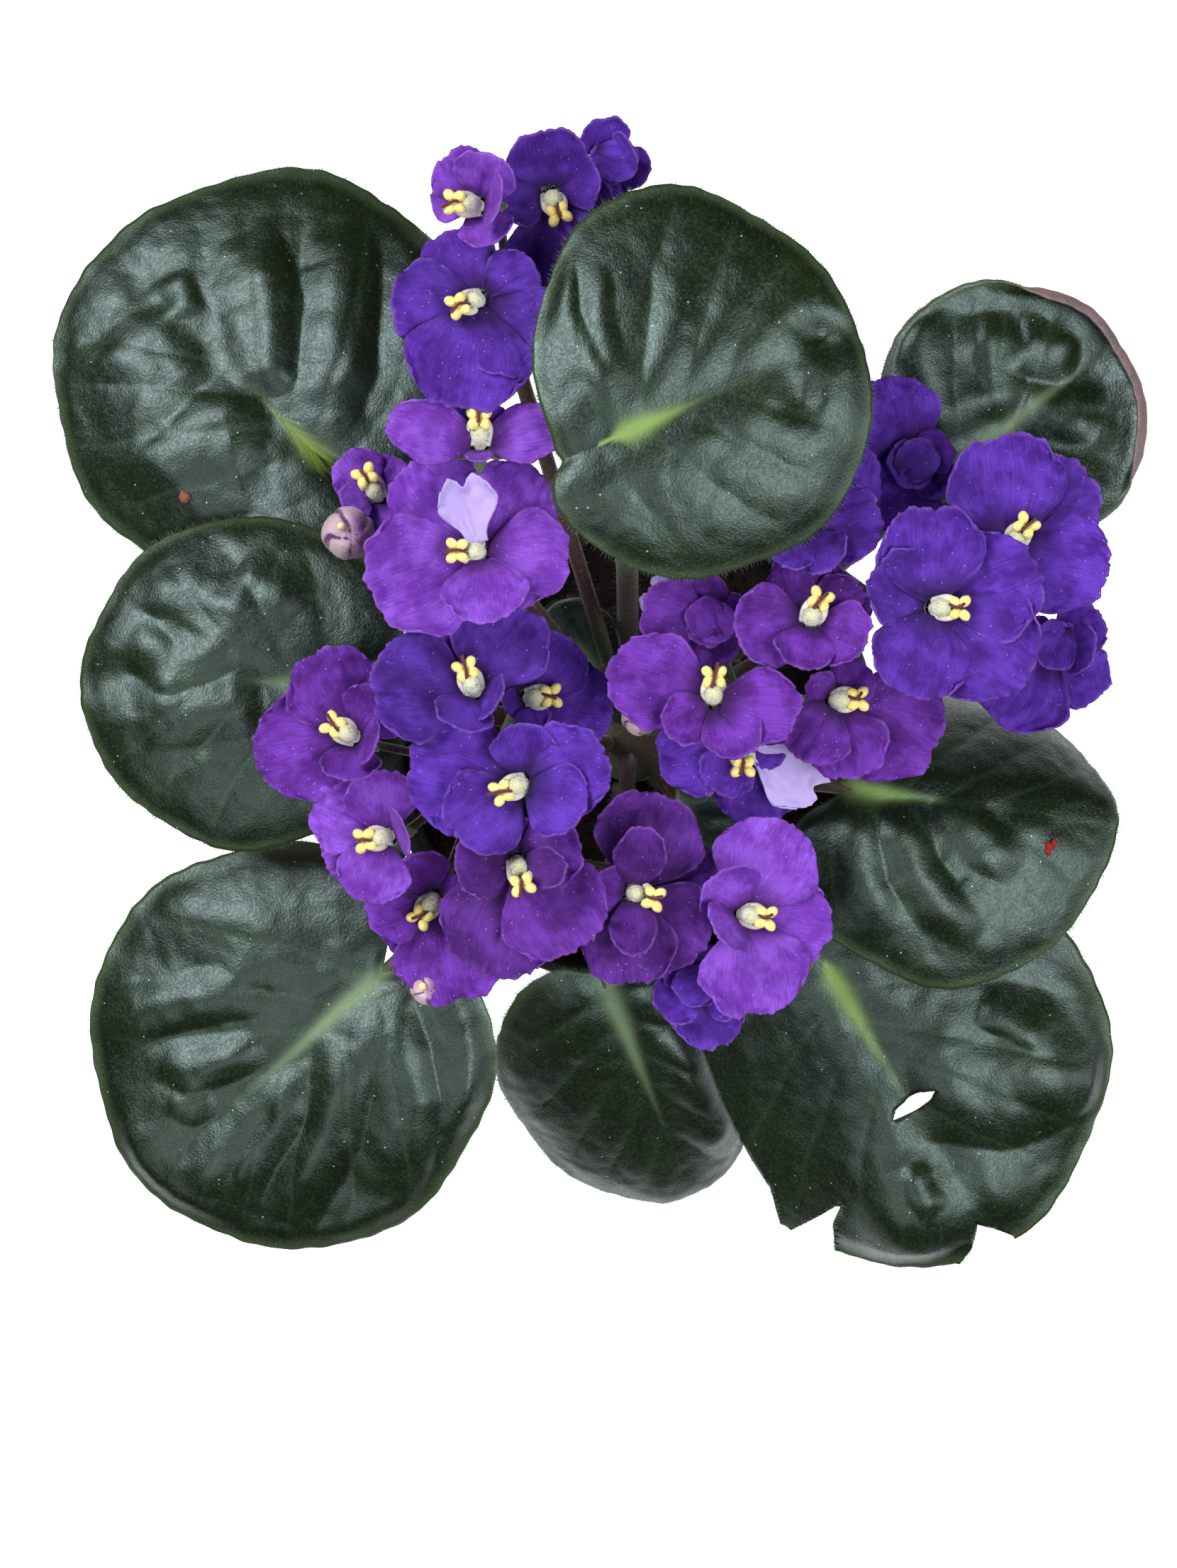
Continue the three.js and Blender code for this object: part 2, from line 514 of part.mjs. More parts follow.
// Heights of a placed body over a fine square raster, lowest and highest in each cell
const CELL = 0.6;

function rasterOf(geometry) {
  const loose = geometry.toNonIndexed().attributes.position;
  const cells = new Map();
  const [a, b, c, spot] = [0, 1, 2, 3].map(() => new THREE.Vector3());
  for (let i = 0; i < loose.count; i += 3) {
    a.fromBufferAttribute(loose, i);
    b.fromBufferAttribute(loose, i + 1);
    c.fromBufferAttribute(loose, i + 2);
    const steps = Math.ceil(Math.max(a.distanceTo(b), b.distanceTo(c), c.distanceTo(a)) / CELL);
    for (let j = 0; j <= steps; j++) {
      for (let k = 0; k <= steps - j; k++) {
        const [s, t] = [j / steps, k / steps];
        spot.copy(a).multiplyScalar(1 - s - t).addScaledVector(b, s).addScaledVector(c, t);
        const key = `${Math.round(spot.x / CELL)},${Math.round(spot.y / CELL)}`;
        const cell = cells.get(key) ?? { low: Infinity, high: -Infinity };
        cell.low = Math.min(cell.low, spot.z);
        cell.high = Math.max(cell.high, spot.z);
        cells.set(key, cell);
      }
    }
  }
  return cells;
}

// How far a body has to rise to lie a gap over everything in the pile that is under it, or within
// the given number of cells beside it
function liftOver(pile, cells, gap, beside) {
  let lift = 0;
  for (const [key, { low }] of cells) {
    const [column, row] = key.split(",").map(Number);
    for (let dx = -beside; dx <= beside; dx++) {
      for (let dy = -beside; dy <= beside; dy++) {
        const under = pile.get(`${column + dx},${row + dy}`);
        if (under !== undefined) lift = Math.max(lift, under + gap - low);
      }
    }
  }
  return lift;
}

// Each bloom is set down in turn, and raised until it lies clear on those already placed
function settle(blooms) {
  const pile = new Map();
  return blooms.map((bloom) => {
    const geometry = geometryOf(flower(bloom)).translate(...bloom.at);
    const cells = rasterOf(geometry);
    const lift = liftOver(pile, cells, BLOOM_GAP, 1);
    for (const [key, { high }] of cells) {
      pile.set(key, Math.max(pile.get(key) ?? -Infinity, high + lift));
    }
    const position = vec(bloom.at).add(new THREE.Vector3(0, 0, lift));
    return { ...bloom, geometry: geometry.translate(0, 0, lift), position };
  });
}

// The short stalk from a spray's fork to just under a bloom, or into the base of a bud
function pedicel(fork, base, axis) {
  const below = base.clone().addScaledVector(axis, -5).add(new THREE.Vector3(0, 0, -1));
  const middle = fork.clone().lerp(below, 0.5).add(new THREE.Vector3(0, 0, -1));
  return stalkThrough([fork, middle, below, base], PEDICEL_RADIUS, 3, 5);
}

function bud({ spray, at, radius }) {
  const fork = vec(SPRAY_FORKS[spray]);
  const tip = vec(at);
  const head = new THREE.SphereGeometry(radius, 6, 4).scale(1, 1, 1.15).translate(...at);
  return [head, pedicel(fork, tip, UP)];
}

// The crown with its young leaves, and the sprays that rise from it with their buds
function crownAndStalks(blooms) {
  const crown = turned([
    [0, CROWN_FOOT],
    [CROWN_FOOT_RADIUS, CROWN_FOOT],
    [CROWN_RADIUS - 0.4, SOIL_LEVEL - 1],
    [CROWN_RADIUS, LOW_TIER],
    [CROWN_RADIUS, HIGH_TIER + 1],
    [CROWN_RADIUS - 3, CROWN_TOP - 1],
    [0, CROWN_TOP],
  ], 16);
  const pieces = [crown];
  for (const fork of SPRAY_FORKS) {
    const end = vec(fork);
    const out = new THREE.Vector3(end.x, end.y, 0).normalize();
    const foot = new THREE.Vector3(0, 0, CROWN_TOP - 5).addScaledVector(out, 4);
    const rise = new THREE.Vector3(0, 0, 110).addScaledVector(out, 0.3 * Math.hypot(end.x, end.y));
    pieces.push(stalkThrough([foot, rise, end], PEDUNCLE_RADIUS, 5, 6));
  }
  for (const { position, faces, spray } of blooms) {
    const axis = UP.clone().applyQuaternion(lean([faces[0], faces[1] / 2]));
    const base = position.clone().addScaledVector(axis, -CALYX_DEPTH - FIT_GAP);
    pieces.push(pedicel(vec(SPRAY_FORKS[spray]), base, axis));
  }
  for (const leaf of YOUNG_LEAVES) {
    const away = Math.atan2(leaf.joint[1], leaf.joint[0]);
    const start = new THREE.Vector3(5 * Math.cos(away), 5 * Math.sin(away), CROWN_TOP - 3);
    pieces.push(blade(leaf, YOUNG_BLADE_GRID), petiole(leaf, start, 1.2));
  }
  return fuse([...pieces, ...BUDS.flatMap(bud)]);
}

function part(name, shape, material) {
  const mesh = new THREE.Mesh(shape.isBufferGeometry ? shape : geometryOf(shape), material);
  mesh.name = name;
  return mesh;
}

const violet = new THREE.Group();
violet.add(part("pot", pot(), DARK_PLASTIC));
violet.add(part("potting_mix", pottingMix(), POTTING_MIX));
for (const leaf of LEAVES) violet.add(part(leaf.name, leafSolid(leaf), LEAF_GREEN));

const blooms = settle(BLOOMS);
violet.add(part("crown_and_stalks", crownAndStalks(blooms), STALK_GREEN));
blooms.forEach((bloom, i) => {
  const number = String(i + 1).padStart(2, "0");
  violet.add(part(`bloom_${number}`, bloom.geometry, bloom.tone));
  if (bloom.open === false) return;
  violet.add(part(`stamens_${number}`, stamens(bloom), POLLEN_YELLOW));
});

export default violet;
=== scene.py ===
import sys
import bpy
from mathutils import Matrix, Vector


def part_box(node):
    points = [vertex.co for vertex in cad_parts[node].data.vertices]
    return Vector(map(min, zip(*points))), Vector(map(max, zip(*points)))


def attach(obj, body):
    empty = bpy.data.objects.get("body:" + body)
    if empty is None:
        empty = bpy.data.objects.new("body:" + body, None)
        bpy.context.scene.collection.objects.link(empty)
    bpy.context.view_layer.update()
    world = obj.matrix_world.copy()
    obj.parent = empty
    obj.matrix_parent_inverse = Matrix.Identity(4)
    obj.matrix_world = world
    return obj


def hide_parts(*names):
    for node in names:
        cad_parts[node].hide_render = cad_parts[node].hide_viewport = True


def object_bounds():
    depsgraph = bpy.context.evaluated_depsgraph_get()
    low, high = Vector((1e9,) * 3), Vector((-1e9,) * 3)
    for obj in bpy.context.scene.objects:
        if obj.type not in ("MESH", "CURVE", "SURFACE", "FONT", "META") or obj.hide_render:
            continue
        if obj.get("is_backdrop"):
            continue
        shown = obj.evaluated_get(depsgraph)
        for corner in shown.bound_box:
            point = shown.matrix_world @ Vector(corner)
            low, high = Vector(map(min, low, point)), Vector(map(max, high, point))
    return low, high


"""A potted African violet: round hairy leaves, sprays of violet blooms and a plain dark pot.

Lengths in this file are millimetres unless a name says otherwise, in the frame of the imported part:
+Z up, the origin at the centre of the pot's foot. A finished mesh is scaled to metres once.
"""
import logging
import math
import random
from collections.abc import Callable, Sequence
from dataclasses import dataclass
from enum import Enum

import bmesh
import bpy
import numpy as np
from bmesh.types import BMEdge, BMesh, BMVert
from mathutils import Matrix, Quaternion, Vector, noise

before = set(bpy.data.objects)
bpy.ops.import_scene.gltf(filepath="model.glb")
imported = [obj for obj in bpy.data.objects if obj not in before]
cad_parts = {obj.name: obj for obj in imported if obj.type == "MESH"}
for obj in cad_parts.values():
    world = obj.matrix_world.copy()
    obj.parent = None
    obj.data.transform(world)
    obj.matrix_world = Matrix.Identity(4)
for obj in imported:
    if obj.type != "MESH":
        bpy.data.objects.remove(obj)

log = logging.getLogger("violet")

METRES = 0.001
UP = Vector((0, 0, 1))
FIT_GAP = 0.3
CROWN_RADIUS = 9.0
CROWN_TOP = 95.0
LOW_TIER = 83.0
HIGH_TIER = 90.0
CALYX_DEPTH = 2.8
LAYER_STEP = 0.9

# The Mix node's sockets for colours, by number because its names repeat
MIX_FIRST = 6
MIX_SECOND = 7
MIX_COLOUR = 2

Colour = tuple[float, float, float, float]
Pair = tuple[float, float]
Triple = tuple[float, float, float]


def rgb(red: float, green: float, blue: float) -> Colour:
    """An opaque colour in linear light."""
    return (red, green, blue, 1.0)


def smooth(low: float, high: float, value: float) -> float:
    """Eases from 0 at low to 1 at high."""
    share = min(1.0, max(0.0, (value - low) / (high - low)))
    return share * share * (3 - 2 * share)


def compass(degrees: float, reach: float = 1.0) -> Vector:
    """A level vector of a length towards a compass direction from +X."""
    turn = math.radians(degrees)
    return Vector((reach * math.cos(turn), reach * math.sin(turn), 0))


def lean(direction: float, degrees: float) -> Quaternion:
    """The turn that leans an upright axis towards a compass direction."""
    axis = Vector((-math.sin(math.radians(direction)), math.cos(math.radians(direction)), 0))
    return Quaternion(axis, math.radians(degrees))


def bell(offset: float, width: float) -> float:
    """A bell curve, 1 in its middle and near 0 beyond twice its width."""
    return math.exp(-((offset / width) ** 2))


def stray(draw: random.Random, spread: float) -> Vector:
    """A random vector whose three parts have the same spread."""
    return Vector((draw.gauss(0, spread), draw.gauss(0, spread), draw.gauss(0, spread)))


def placed(spot: Sequence[float], turn: Quaternion) -> Matrix:
    """The frame that has a turn and stands at a spot."""
    return Matrix.Translation(spot) @ turn.to_matrix().to_4x4()


# Materials


class Flow:
    """An output socket that takes part in arithmetic, each sign adding its Math node."""

    def __init__(self, paint: "Paint", socket: bpy.types.NodeSocket) -> None:
        """Wraps a socket of a paint's node tree."""
        self.paint = paint
        self.socket = socket

    def maths(self, operation: str, *operands: object) -> "Flow":
        """Adds one Math node."""
        return self.paint.flow(
            "ShaderNodeMath", {"operation": operation}, dict(enumerate(operands)))

    def __add__(self, other: object) -> "Flow":
        """Sum."""
        return self.maths("ADD", self, other)

    def __radd__(self, other: object) -> "Flow":
        """Sum with the number first."""
        return self.maths("ADD", other, self)

    def __sub__(self, other: object) -> "Flow":
        """Difference."""
        return self.maths("SUBTRACT", self, other)

    def __rsub__(self, other: object) -> "Flow":
        """Difference with the number first."""
        return self.maths("SUBTRACT", other, self)

    def __mul__(self, other: object) -> "Flow":
        """Product."""
        return self.maths("MULTIPLY", self, other)

    def __rmul__(self, other: object) -> "Flow":
        """Product with the number first."""
        return self.maths("MULTIPLY", other, self)

    def over(self, other: object) -> "Flow":
        """The larger of two values."""
        return self.maths("MAXIMUM", self, other)

    def ease(self, low: float, high: float) -> "Flow":
        """Eases from 0 at low to 1 at high, or from 1 to 0 where low is the larger."""
        return self.paint.flow(
            "ShaderNodeMapRange", {"interpolation_type": "SMOOTHSTEP"},
            {"Value": self, "From Min": low, "From Max": high})

    def tint(self, first: object, second: object) -> "Flow":
        """Mixes two colours, this value being the share of the second."""
        return self.paint.flow(
            "ShaderNodeMix", {"data_type": "RGBA"},
            {0: self, MIX_FIRST: first, MIX_SECOND: second}, MIX_COLOUR)


class Paint:
    """The node tree of one material, ended by a Principled shader."""

    def __init__(self, name: str) -> None:
        """Starts an empty tree with its shader and output."""
        self.material = bpy.data.materials.new(name)
        self.material.use_nodes = True
        self.tree = self.material.node_tree
        self.tree.nodes.clear()
        self.shader = self.node("ShaderNodeBsdfPrincipled")
        self.node("ShaderNodeOutputMaterial", values={
            "Surface": Flow(self, self.shader.outputs[0])})

    def node(self, kind: str, settings: dict[str, object] | None = None,
             values: dict[str | int, object] | None = None) -> bpy.types.Node:
        """Makes one node of any kind.

        Args:
            kind: the node's type.
            settings: its properties, set first.
            values: its sockets by name or number, each a constant or a Flow.

        Returns:
            The node.
        """
        made = self.tree.nodes.new(kind)
        for key, value in (settings or {}).items():
            setattr(made, key, value)
        self.feed(made, values or {})
        return made

    def feed(self, node: bpy.types.Node, values: dict[str | int, object]) -> None:
        """Links or sets sockets of a node.

        Args:
            node: the node.
            values: its sockets by name or number, each a constant or a Flow.
        """
        for key, value in values.items():
            if isinstance(value, Flow):
                self.tree.links.new(value.socket, node.inputs[key])
            else:
                node.inputs[key].default_value = value

    def flow(self, kind: str, settings: dict[str, object] | None = None,
             values: dict[str | int, object] | None = None, output: str | int = 0) -> Flow:
        """Makes a node and takes one of its outputs."""
        return Flow(self, self.node(kind, settings, values).outputs[output])

    def facts(self, name: str) -> tuple[Flow, Flow, Flow]:
        """The three numbers of a vertex attribute of the piece.

        Args:
            name: the attribute.

        Returns:
            Its x, y and z as Flows.
        """
        attribute = self.flow("ShaderNodeAttribute", {"attribute_name": name}, output="Vector")
        split = self.node("ShaderNodeSeparateXYZ", values={0: attribute})
        return tuple(Flow(self, socket) for socket in split.outputs)

    def joined(self, x: object, y: object, z: object) -> Flow:
        """Three numbers as one vector."""
        return self.flow("ShaderNodeCombineXYZ", values={0: x, 1: y, 2: z})

    def places(self) -> Flow:
        """Object coordinates, in metres."""
        return self.flow("ShaderNodeTexCoord", output="Object")

    def grain(self, scale: float, detail: float = 3.0, rough: float = 0.5,
              where: Flow | None = None) -> Flow:
        """Soft noise from 0 to 1.

        Args:
            scale: features to a unit of the coordinates.
            detail: how many finer layers it has.
            rough: how strong the finer layers are.
            where: the coordinates, if they aren't the places on the piece.

        Returns:
            The noise.
        """
        return self.flow("ShaderNodeTexNoise", values={
            "Vector": where or self.places(), "Scale": scale, "Detail": detail,
            "Roughness": rough})

    def specks(self, scale: float, size: float) -> Flow:
        """Small round specks scattered at random, 1 inside them.

        Args:
            scale: cells to a metre.
            size: share of a cell that its speck covers.

        Returns:
            The mask.
        """
        values = {"Vector": self.places(), "Scale": scale}
        cells = self.flow("ShaderNodeTexVoronoi", values=values, output="Distance")
        return cells.ease(size, size * 0.5)

    def finish(self, colour: object, roughness: object, height: Flow | None = None,
               depth: float = 0.0, **constants: object) -> bpy.types.Material:
        """Links the shader.

        Args:
            colour: base colour.
            roughness: roughness.
            height: bump height from 0 to 1, if there is one.
            depth: how far the bump stands out, in metres.
            constants: other shader sockets, by name with _ for a space.

        Returns:
            The finished material.
        """
        links = {"Base Color": colour, "Roughness": roughness}
        if height is not None:
            links["Normal"] = self.flow("ShaderNodeBump", values={
                "Height": height, "Distance": depth, "Strength": 1.0})
        links.update({name.replace("_", " "): value for name, value in constants.items()})
        self.feed(self.shader, links)
        return self.material


@dataclass(frozen=True)
class LeafSkin:
    """Dark green blade with pale veins, a pale margin that is partly its own hairy edge and partly
    painted rim sheen, a silvery coat of hairs and a purple back.
    """

    shade: Colour = rgb(0.0028, 0.0050, 0.0006)
    lit: Colour = rgb(0.0080, 0.0155, 0.0016)
    vein: Colour = rgb(0.020, 0.042, 0.018)
    midrib: Colour = rgb(0.140, 0.200, 0.098)
    # Pale hairy edge, also painted sheen along the rim, and the tint of the hair grain
    margin: Colour = rgb(0.050, 0.078, 0.032)
    back: Colour = rgb(0.230, 0.130, 0.140)
    back_vein: Colour = rgb(0.300, 0.290, 0.160)
    speck: Colour = rgb(0.550, 0.580, 0.480)
    name: str = "leaf_skin_0"

    def material(self) -> bpy.types.Material:
        """Builds the material. plan is along, across, reach and relief is vein, back, midrib."""
        paint = Paint(self.name)
        _, _, reach = paint.facts("plan")
        vein, back, midrib = paint.facts("relief")
        cloud = paint.grain(220.0, 4.0, 0.6)
        fuzz = paint.grain(2100.0, 2.0, 0.7)
        felt = paint.grain(1500.0, 2.0, 0.6)
        patch = paint.grain(60.0, 2.0, 0.5)
        colour = (cloud * 0.6 + patch * 0.6 - 0.1).ease(0.25, 0.8).tint(self.shade, self.lit)
        colour = (felt.ease(0.5, 0.8) * 0.12).tint(colour, self.margin)
        colour = (vein * 0.55).tint(colour, self.vein)
        # Pale band at the margin: partly the hairy edge, partly painted rim sheen
        colour = (reach.ease(0.92, 1.0) * 0.75).tint(colour, self.margin)
        colour = midrib.tint(colour, self.midrib)
        dots = paint.specks(300.0, 0.06)
        colour = (dots * 0.8).tint(colour, self.speck)
        below = (vein * 0.7 + midrib).tint(self.back, self.back_vein)
        below = (cloud.ease(0.3, 0.9) * 0.5).tint(below, self.vein)
        colour = back.tint(colour, below)
        roughness = 0.28 + felt.ease(0.3, 0.75) * 0.18 + back * 0.3 + midrib * 0.2
        height = fuzz * 0.75 + cloud * 0.6
        return paint.finish(
            colour, roughness, height, 0.00013, Specular_IOR_Level=0.66,
            Specular_Tint=rgb(0.80, 1.0, 0.98))


@dataclass(frozen=True)
class PetalVelvet:
    """Velvety petal with fine streaks from the throat, painted shade towards the throat, a sparkle
    and a thin pale edge.
    """

    # Dark violet of the streaks, also used for painted shade
    streak_and_shade: Colour
    full: Colour
    light: Colour
    edge: Colour = rgb(0.240, 0.100, 0.350)
    sparkle: Colour = rgb(0.420, 0.260, 0.700)
    white: Colour = rgb(0.560, 0.440, 0.800)
    name: str = "petal"

    def material(self) -> bpy.types.Material:
        """Builds the material. plan is outwards, across and rim, and tone is painted shade, pale and
        back.
        """
        paint = Paint(self.name)
        out, across, rim = paint.facts("plan")
        dark, pale, back = paint.facts("tone")
        cloud = paint.grain(170.0, 4.0, 0.6)
        rays = paint.joined(out * 1.6, across * 9.0, pale * 7.0 + dark)
        streak = paint.grain(3.2, 4.0, 0.6, rays)
        velvet = paint.grain(3600.0, 1.0, 0.5)
        colour = (cloud + streak * 0.25 - 0.125).ease(0.34, 0.66).tint(self.full, self.light)
        # Painted shade: dark violet towards the throat and on petals that the tone marks as shaded
        colour = (out.ease(0.45, 0.0) * 0.85).over(dark * 0.6).tint(colour, self.streak_and_shade)
        colour = (streak.ease(0.6, 0.40) * 0.17).tint(colour, self.streak_and_shade)
        colour = (back * 0.55).tint(colour, self.light)
        colour = (rim * 0.5).tint(colour, self.edge)
        colour = pale.tint(colour, self.white)
        colour = (paint.specks(650.0, 0.10) * 0.7).tint(colour, self.sparkle)
        roughness = 0.62 + velvet * 0.2
        height = streak * 0.7 + velvet * 0.35
        return paint.finish(
            colour, roughness, height, 0.00013, Specular_IOR_Level=0.2, Sheen_Weight=0.12,
            Sheen_Roughness=0.45, Sheen_Tint=rgb(0.60, 0.40, 1.0))


@dataclass(frozen=True)
class StalkSkin:
    """Fleshy stalk, green in some patches and flushed with reddish brown in others, with pale flecks.
    """

    green: Colour = rgb(0.050, 0.080, 0.028)
    flush: Colour = rgb(0.075, 0.026, 0.020)
    pale: Colour = rgb(0.160, 0.150, 0.085)
    name: str = "stalk_skin"

    def material(self) -> bpy.types.Material:
        """Builds the material."""
        paint = Paint(self.name)
        patch = paint.grain(45.0, 2.0, 0.5)
        fine = paint.grain(900.0, 3.0, 0.6)
        colour = patch.ease(0.38, 0.62).tint(self.green, self.flush)
        colour = (fine.ease(0.5, 0.8) * 0.5).tint(colour, self.pale)
        return paint.finish(
            colour, 0.45 + fine * 0.2, fine, 0.0003, Specular_IOR_Level=0.5, Sheen_Weight=0.4,
            Sheen_Roughness=0.4, Sheen_Tint=rgb(0.85, 0.8, 0.75))


@dataclass(frozen=True)
class HeartSkin:
    """Green sepals, cream ovary, dark style and pale filaments, told apart by their tone."""

    sepal: Colour = rgb(0.090, 0.130, 0.050)
    cream: Colour = rgb(0.900, 0.830, 0.640)
    knob: Colour = rgb(0.600, 0.590, 0.360)
    style: Colour = rgb(0.110, 0.012, 0.022)
    filament: Colour = rgb(0.760, 0.700, 0.600)
    down: Colour = rgb(0.750, 0.760, 0.660)
    name: str = "heart_skin"

    def material(self) -> bpy.types.Material:
        """Builds the material. tone is the part, how far up it is, and nothing."""
        paint = Paint(self.name)
        kind, height, _ = paint.facts("tone")
        fine = paint.grain(2400.0, 2.0, 0.6)
        ovary = height.ease(0.45, 1.0).tint(self.cream, self.knob)
        ovary = (fine.ease(0.45, 0.75) * 0.5).tint(ovary, self.down)
        colour = kind.ease(0.5, 1.0).tint(self.sepal, ovary)
        colour = kind.ease(1.5, 2.0).tint(colour, self.style)
        colour = kind.ease(2.5, 3.0).tint(colour, self.filament)
        return paint.finish(
            colour, 0.55, fine, 0.0003, Specular_IOR_Level=0.35, Sheen_Weight=0.5,
            Sheen_Roughness=0.4, Sheen_Tint=rgb(0.95, 0.95, 0.9))


@dataclass(frozen=True)
class BudSkin:
    """Half-open bud: green at its foot, whitish pink above, violet where the petals overlap and
    violet on its +X side as painted shade.
    """

    foot: Colour = rgb(0.150, 0.160, 0.070)
    blush: Colour = rgb(0.560, 0.380, 0.440)
    # Violet for the bud's +X side: painted shade
    flush: Colour = rgb(0.200, 0.060, 0.240)
    tip: Colour = rgb(0.120, 0.030, 0.120)
    stigma: Colour = rgb(0.950, 0.780, 0.350)
    name: str = "bud_skin"

    def material(self) -> bpy.types.Material:
        """Builds the material. tone is how far up, the seam between petals, and the shady side."""
        paint = Paint(self.name)
        height, seam, side = paint.facts("tone")
        fine = paint.grain(1300.0, 3.0, 0.6)
        cloud = paint.grain(300.0, 3.0, 0.6)
        colour = (height * 1.1 + cloud * 0.25 - 0.2).ease(0.25, 0.5).tint(self.foot, self.blush)
        # Painted shade: violet over the +X side
        colour = (side * 0.8 + cloud * 0.4 - 0.2).ease(0.2, 0.9).tint(colour, self.flush)
        colour = (seam + fine * 0.3).ease(0.45, 1.0).tint(colour, self.tip)
        colour = side.ease(1.5, 2.0).tint(colour, self.stigma)
        return paint.finish(
            colour, 0.6, fine, 0.0003, Specular_IOR_Level=0.3, Sheen_Weight=0.5,
            Sheen_Roughness=0.4, Sheen_Tint=rgb(1.0, 0.9, 0.95))


@dataclass(frozen=True)
class HairFinish:
    """Clear pale plant hair."""

    root: Colour = rgb(0.050, 0.065, 0.030)
    tip: Colour = rgb(0.240, 0.260, 0.210)
    name: str = "plant_hair"

    def material(self) -> bpy.types.Material:
        """Builds the material. tone is root to tip, and shade."""
        paint = Paint(self.name)
        up, shade, _ = paint.facts("tone")
        colour = (up * 0.5 + shade * 0.5).tint(self.root, self.tip)
        return paint.finish(colour, 0.4, Specular_IOR_Level=0.5)


@dataclass(frozen=True)
class PollenCoat:
    """Bright yellow anther, duller in random patches and grainy with pollen."""

    bright: Colour = rgb(1.0, 0.860, 0.320)
    dull: Colour = rgb(0.930, 0.620, 0.110)
    name: str = "pollen"

    def material(self) -> bpy.types.Material:
        """Builds the material."""
        paint = Paint(self.name)
        grains = paint.grain(2600.0, 2.0, 0.7)
        colour = grains.ease(0.3, 0.6).tint(self.dull, self.bright)
        return paint.finish(colour, 0.5, grains, 0.0002, Specular_IOR_Level=0.4)


@dataclass(frozen=True)
class MouldedPlastic:
    """Dark matt pot plastic with faint scuffs and a trace of lime."""

    body: Colour = rgb(0.030, 0.032, 0.031)
    scuff: Colour = rgb(0.085, 0.085, 0.080)
    name: str = "pot_plastic"

    def material(self) -> bpy.types.Material:
        """Builds the material."""
        paint = Paint(self.name)
        fine = paint.grain(1400.0, 4.0, 0.6)
        lime = paint.grain(35.0, 5.0, 0.65)
        worn = lime.ease(0.52, 0.8) * 0.5 + fine.ease(0.6, 0.9) * 0.2
        colour = worn.tint(self.body, self.scuff)
        return paint.finish(colour, 0.42 + fine * 0.2 + lime * 0.1, fine, 0.00012,
                            Specular_IOR_Level=0.45)


@dataclass(frozen=True)
class ScrapSkin:
    """Dry dull scrap of plant litter."""

    colour: Colour
    name: str

    def material(self) -> bpy.types.Material:
        """Builds the material."""
        return Paint(self.name).finish(self.colour, 0.8, Specular_IOR_Level=0.2)


@dataclass(frozen=True)
class PeatMix:
    """Moist peat with brown fibres, darker than real peat as painted shade under the leaves."""

    # Both colours are darkened as painted shade; the wet one is near black
    wet_peat_and_shade: Colour = rgb(0.003, 0.002, 0.0015)
    dry: Colour = rgb(0.022, 0.013, 0.008)
    name: str = "peat"

    def material(self) -> bpy.types.Material:
        """Builds the material."""
        paint = Paint(self.name)
        lumps = paint.grain(380.0, 5.0, 0.65)
        fine = paint.grain(1900.0, 3.0, 0.6)
        colour = (lumps * 0.7 + fine * 0.5 - 0.1).ease(0.3, 0.75).tint(self.wet_peat_and_shade, self.dry)
        return paint.finish(colour, 0.9, lumps * 0.7 + fine * 0.4, 0.0012,
                            Specular_IOR_Level=0.25)


@dataclass(frozen=True)
class StudioFloor:
    """Plain white studio floor."""

    white: Colour = rgb(0.90, 0.90, 0.90)
    name: str = "floor_white"

    def material(self) -> bpy.types.Material:
        """Builds the material."""
        return Paint(self.name).finish(self.white, 0.9, Specular_IOR_Level=0.1,
                                  Emission_Color=self.white, Emission_Strength=0.55)


# Shared mesh work


class Curve:
    """A smooth curve through points, evenly weighted between near and far ones."""

    def __init__(self, points: Sequence[Vector]) -> None:
        """Keeps the points."""
        self.points = [Vector(p) for p in points]

    def at(self, share: float) -> Vector:
        """The point at a share of the way, counted in points.

        Args:
            share: 0 at the first point and 1 at the last.

        Returns:
            The point.
        """
        last = len(self.points) - 1
        place = share * last
        index = min(int(place), last - 1)
        weight = place - index
        p1, p2 = self.points[index], self.points[index + 1]
        p0 = self.points[index - 1] if index else 2 * p1 - p2
        p3 = self.points[index + 2] if index + 2 <= last else 2 * p2 - p1
        d0, d1, d2 = (max((b - a).length ** 0.5, 1e-4) for a, b in ((p0, p1), (p1, p2), (p2, p3)))
        start = ((p1 - p0) / d0 - (p2 - p0) / (d0 + d1) + (p2 - p1) / d1) * d1
        end = ((p2 - p1) / d1 - (p3 - p1) / (d1 + d2) + (p3 - p2) / d2) * d1
        square = weight * weight
        cube = square * weight
        return (p1 + start * weight + (-3 * p1 + 3 * p2 - 2 * start - end) * square
                + (2 * p1 - 2 * p2 + start + end) * cube)

    def frames(self, steps: int) -> list[Matrix]:
        """Frames along the curve, +Z along it and turned as little as can be.

        Args:
            steps: how many stretches the curve is cut into.

        Returns:
            One frame more than there are stretches.
        """
        spots = [self.at(i / steps) for i in range(steps + 1)]
        frames = []
        turn = Quaternion()
        forward = UP
        for i, spot in enumerate(spots):
            ahead = spots[min(i + 1, steps)] - spots[max(i - 1, 0)]
            turn = forward.rotation_difference(ahead.normalized()) @ turn
            forward = ahead.normalized()
            frames.append(placed(spot, turn))
        return frames


def fresh(*facts: str) -> BMesh:
    """An empty mesh whose vertices hold facts for the material, and a tag for thicken."""
    bm = bmesh.new()
    bm.verts.layers.int.new("tag")
    for fact in facts:
        bm.verts.layers.float_vector.new(fact)
    return bm


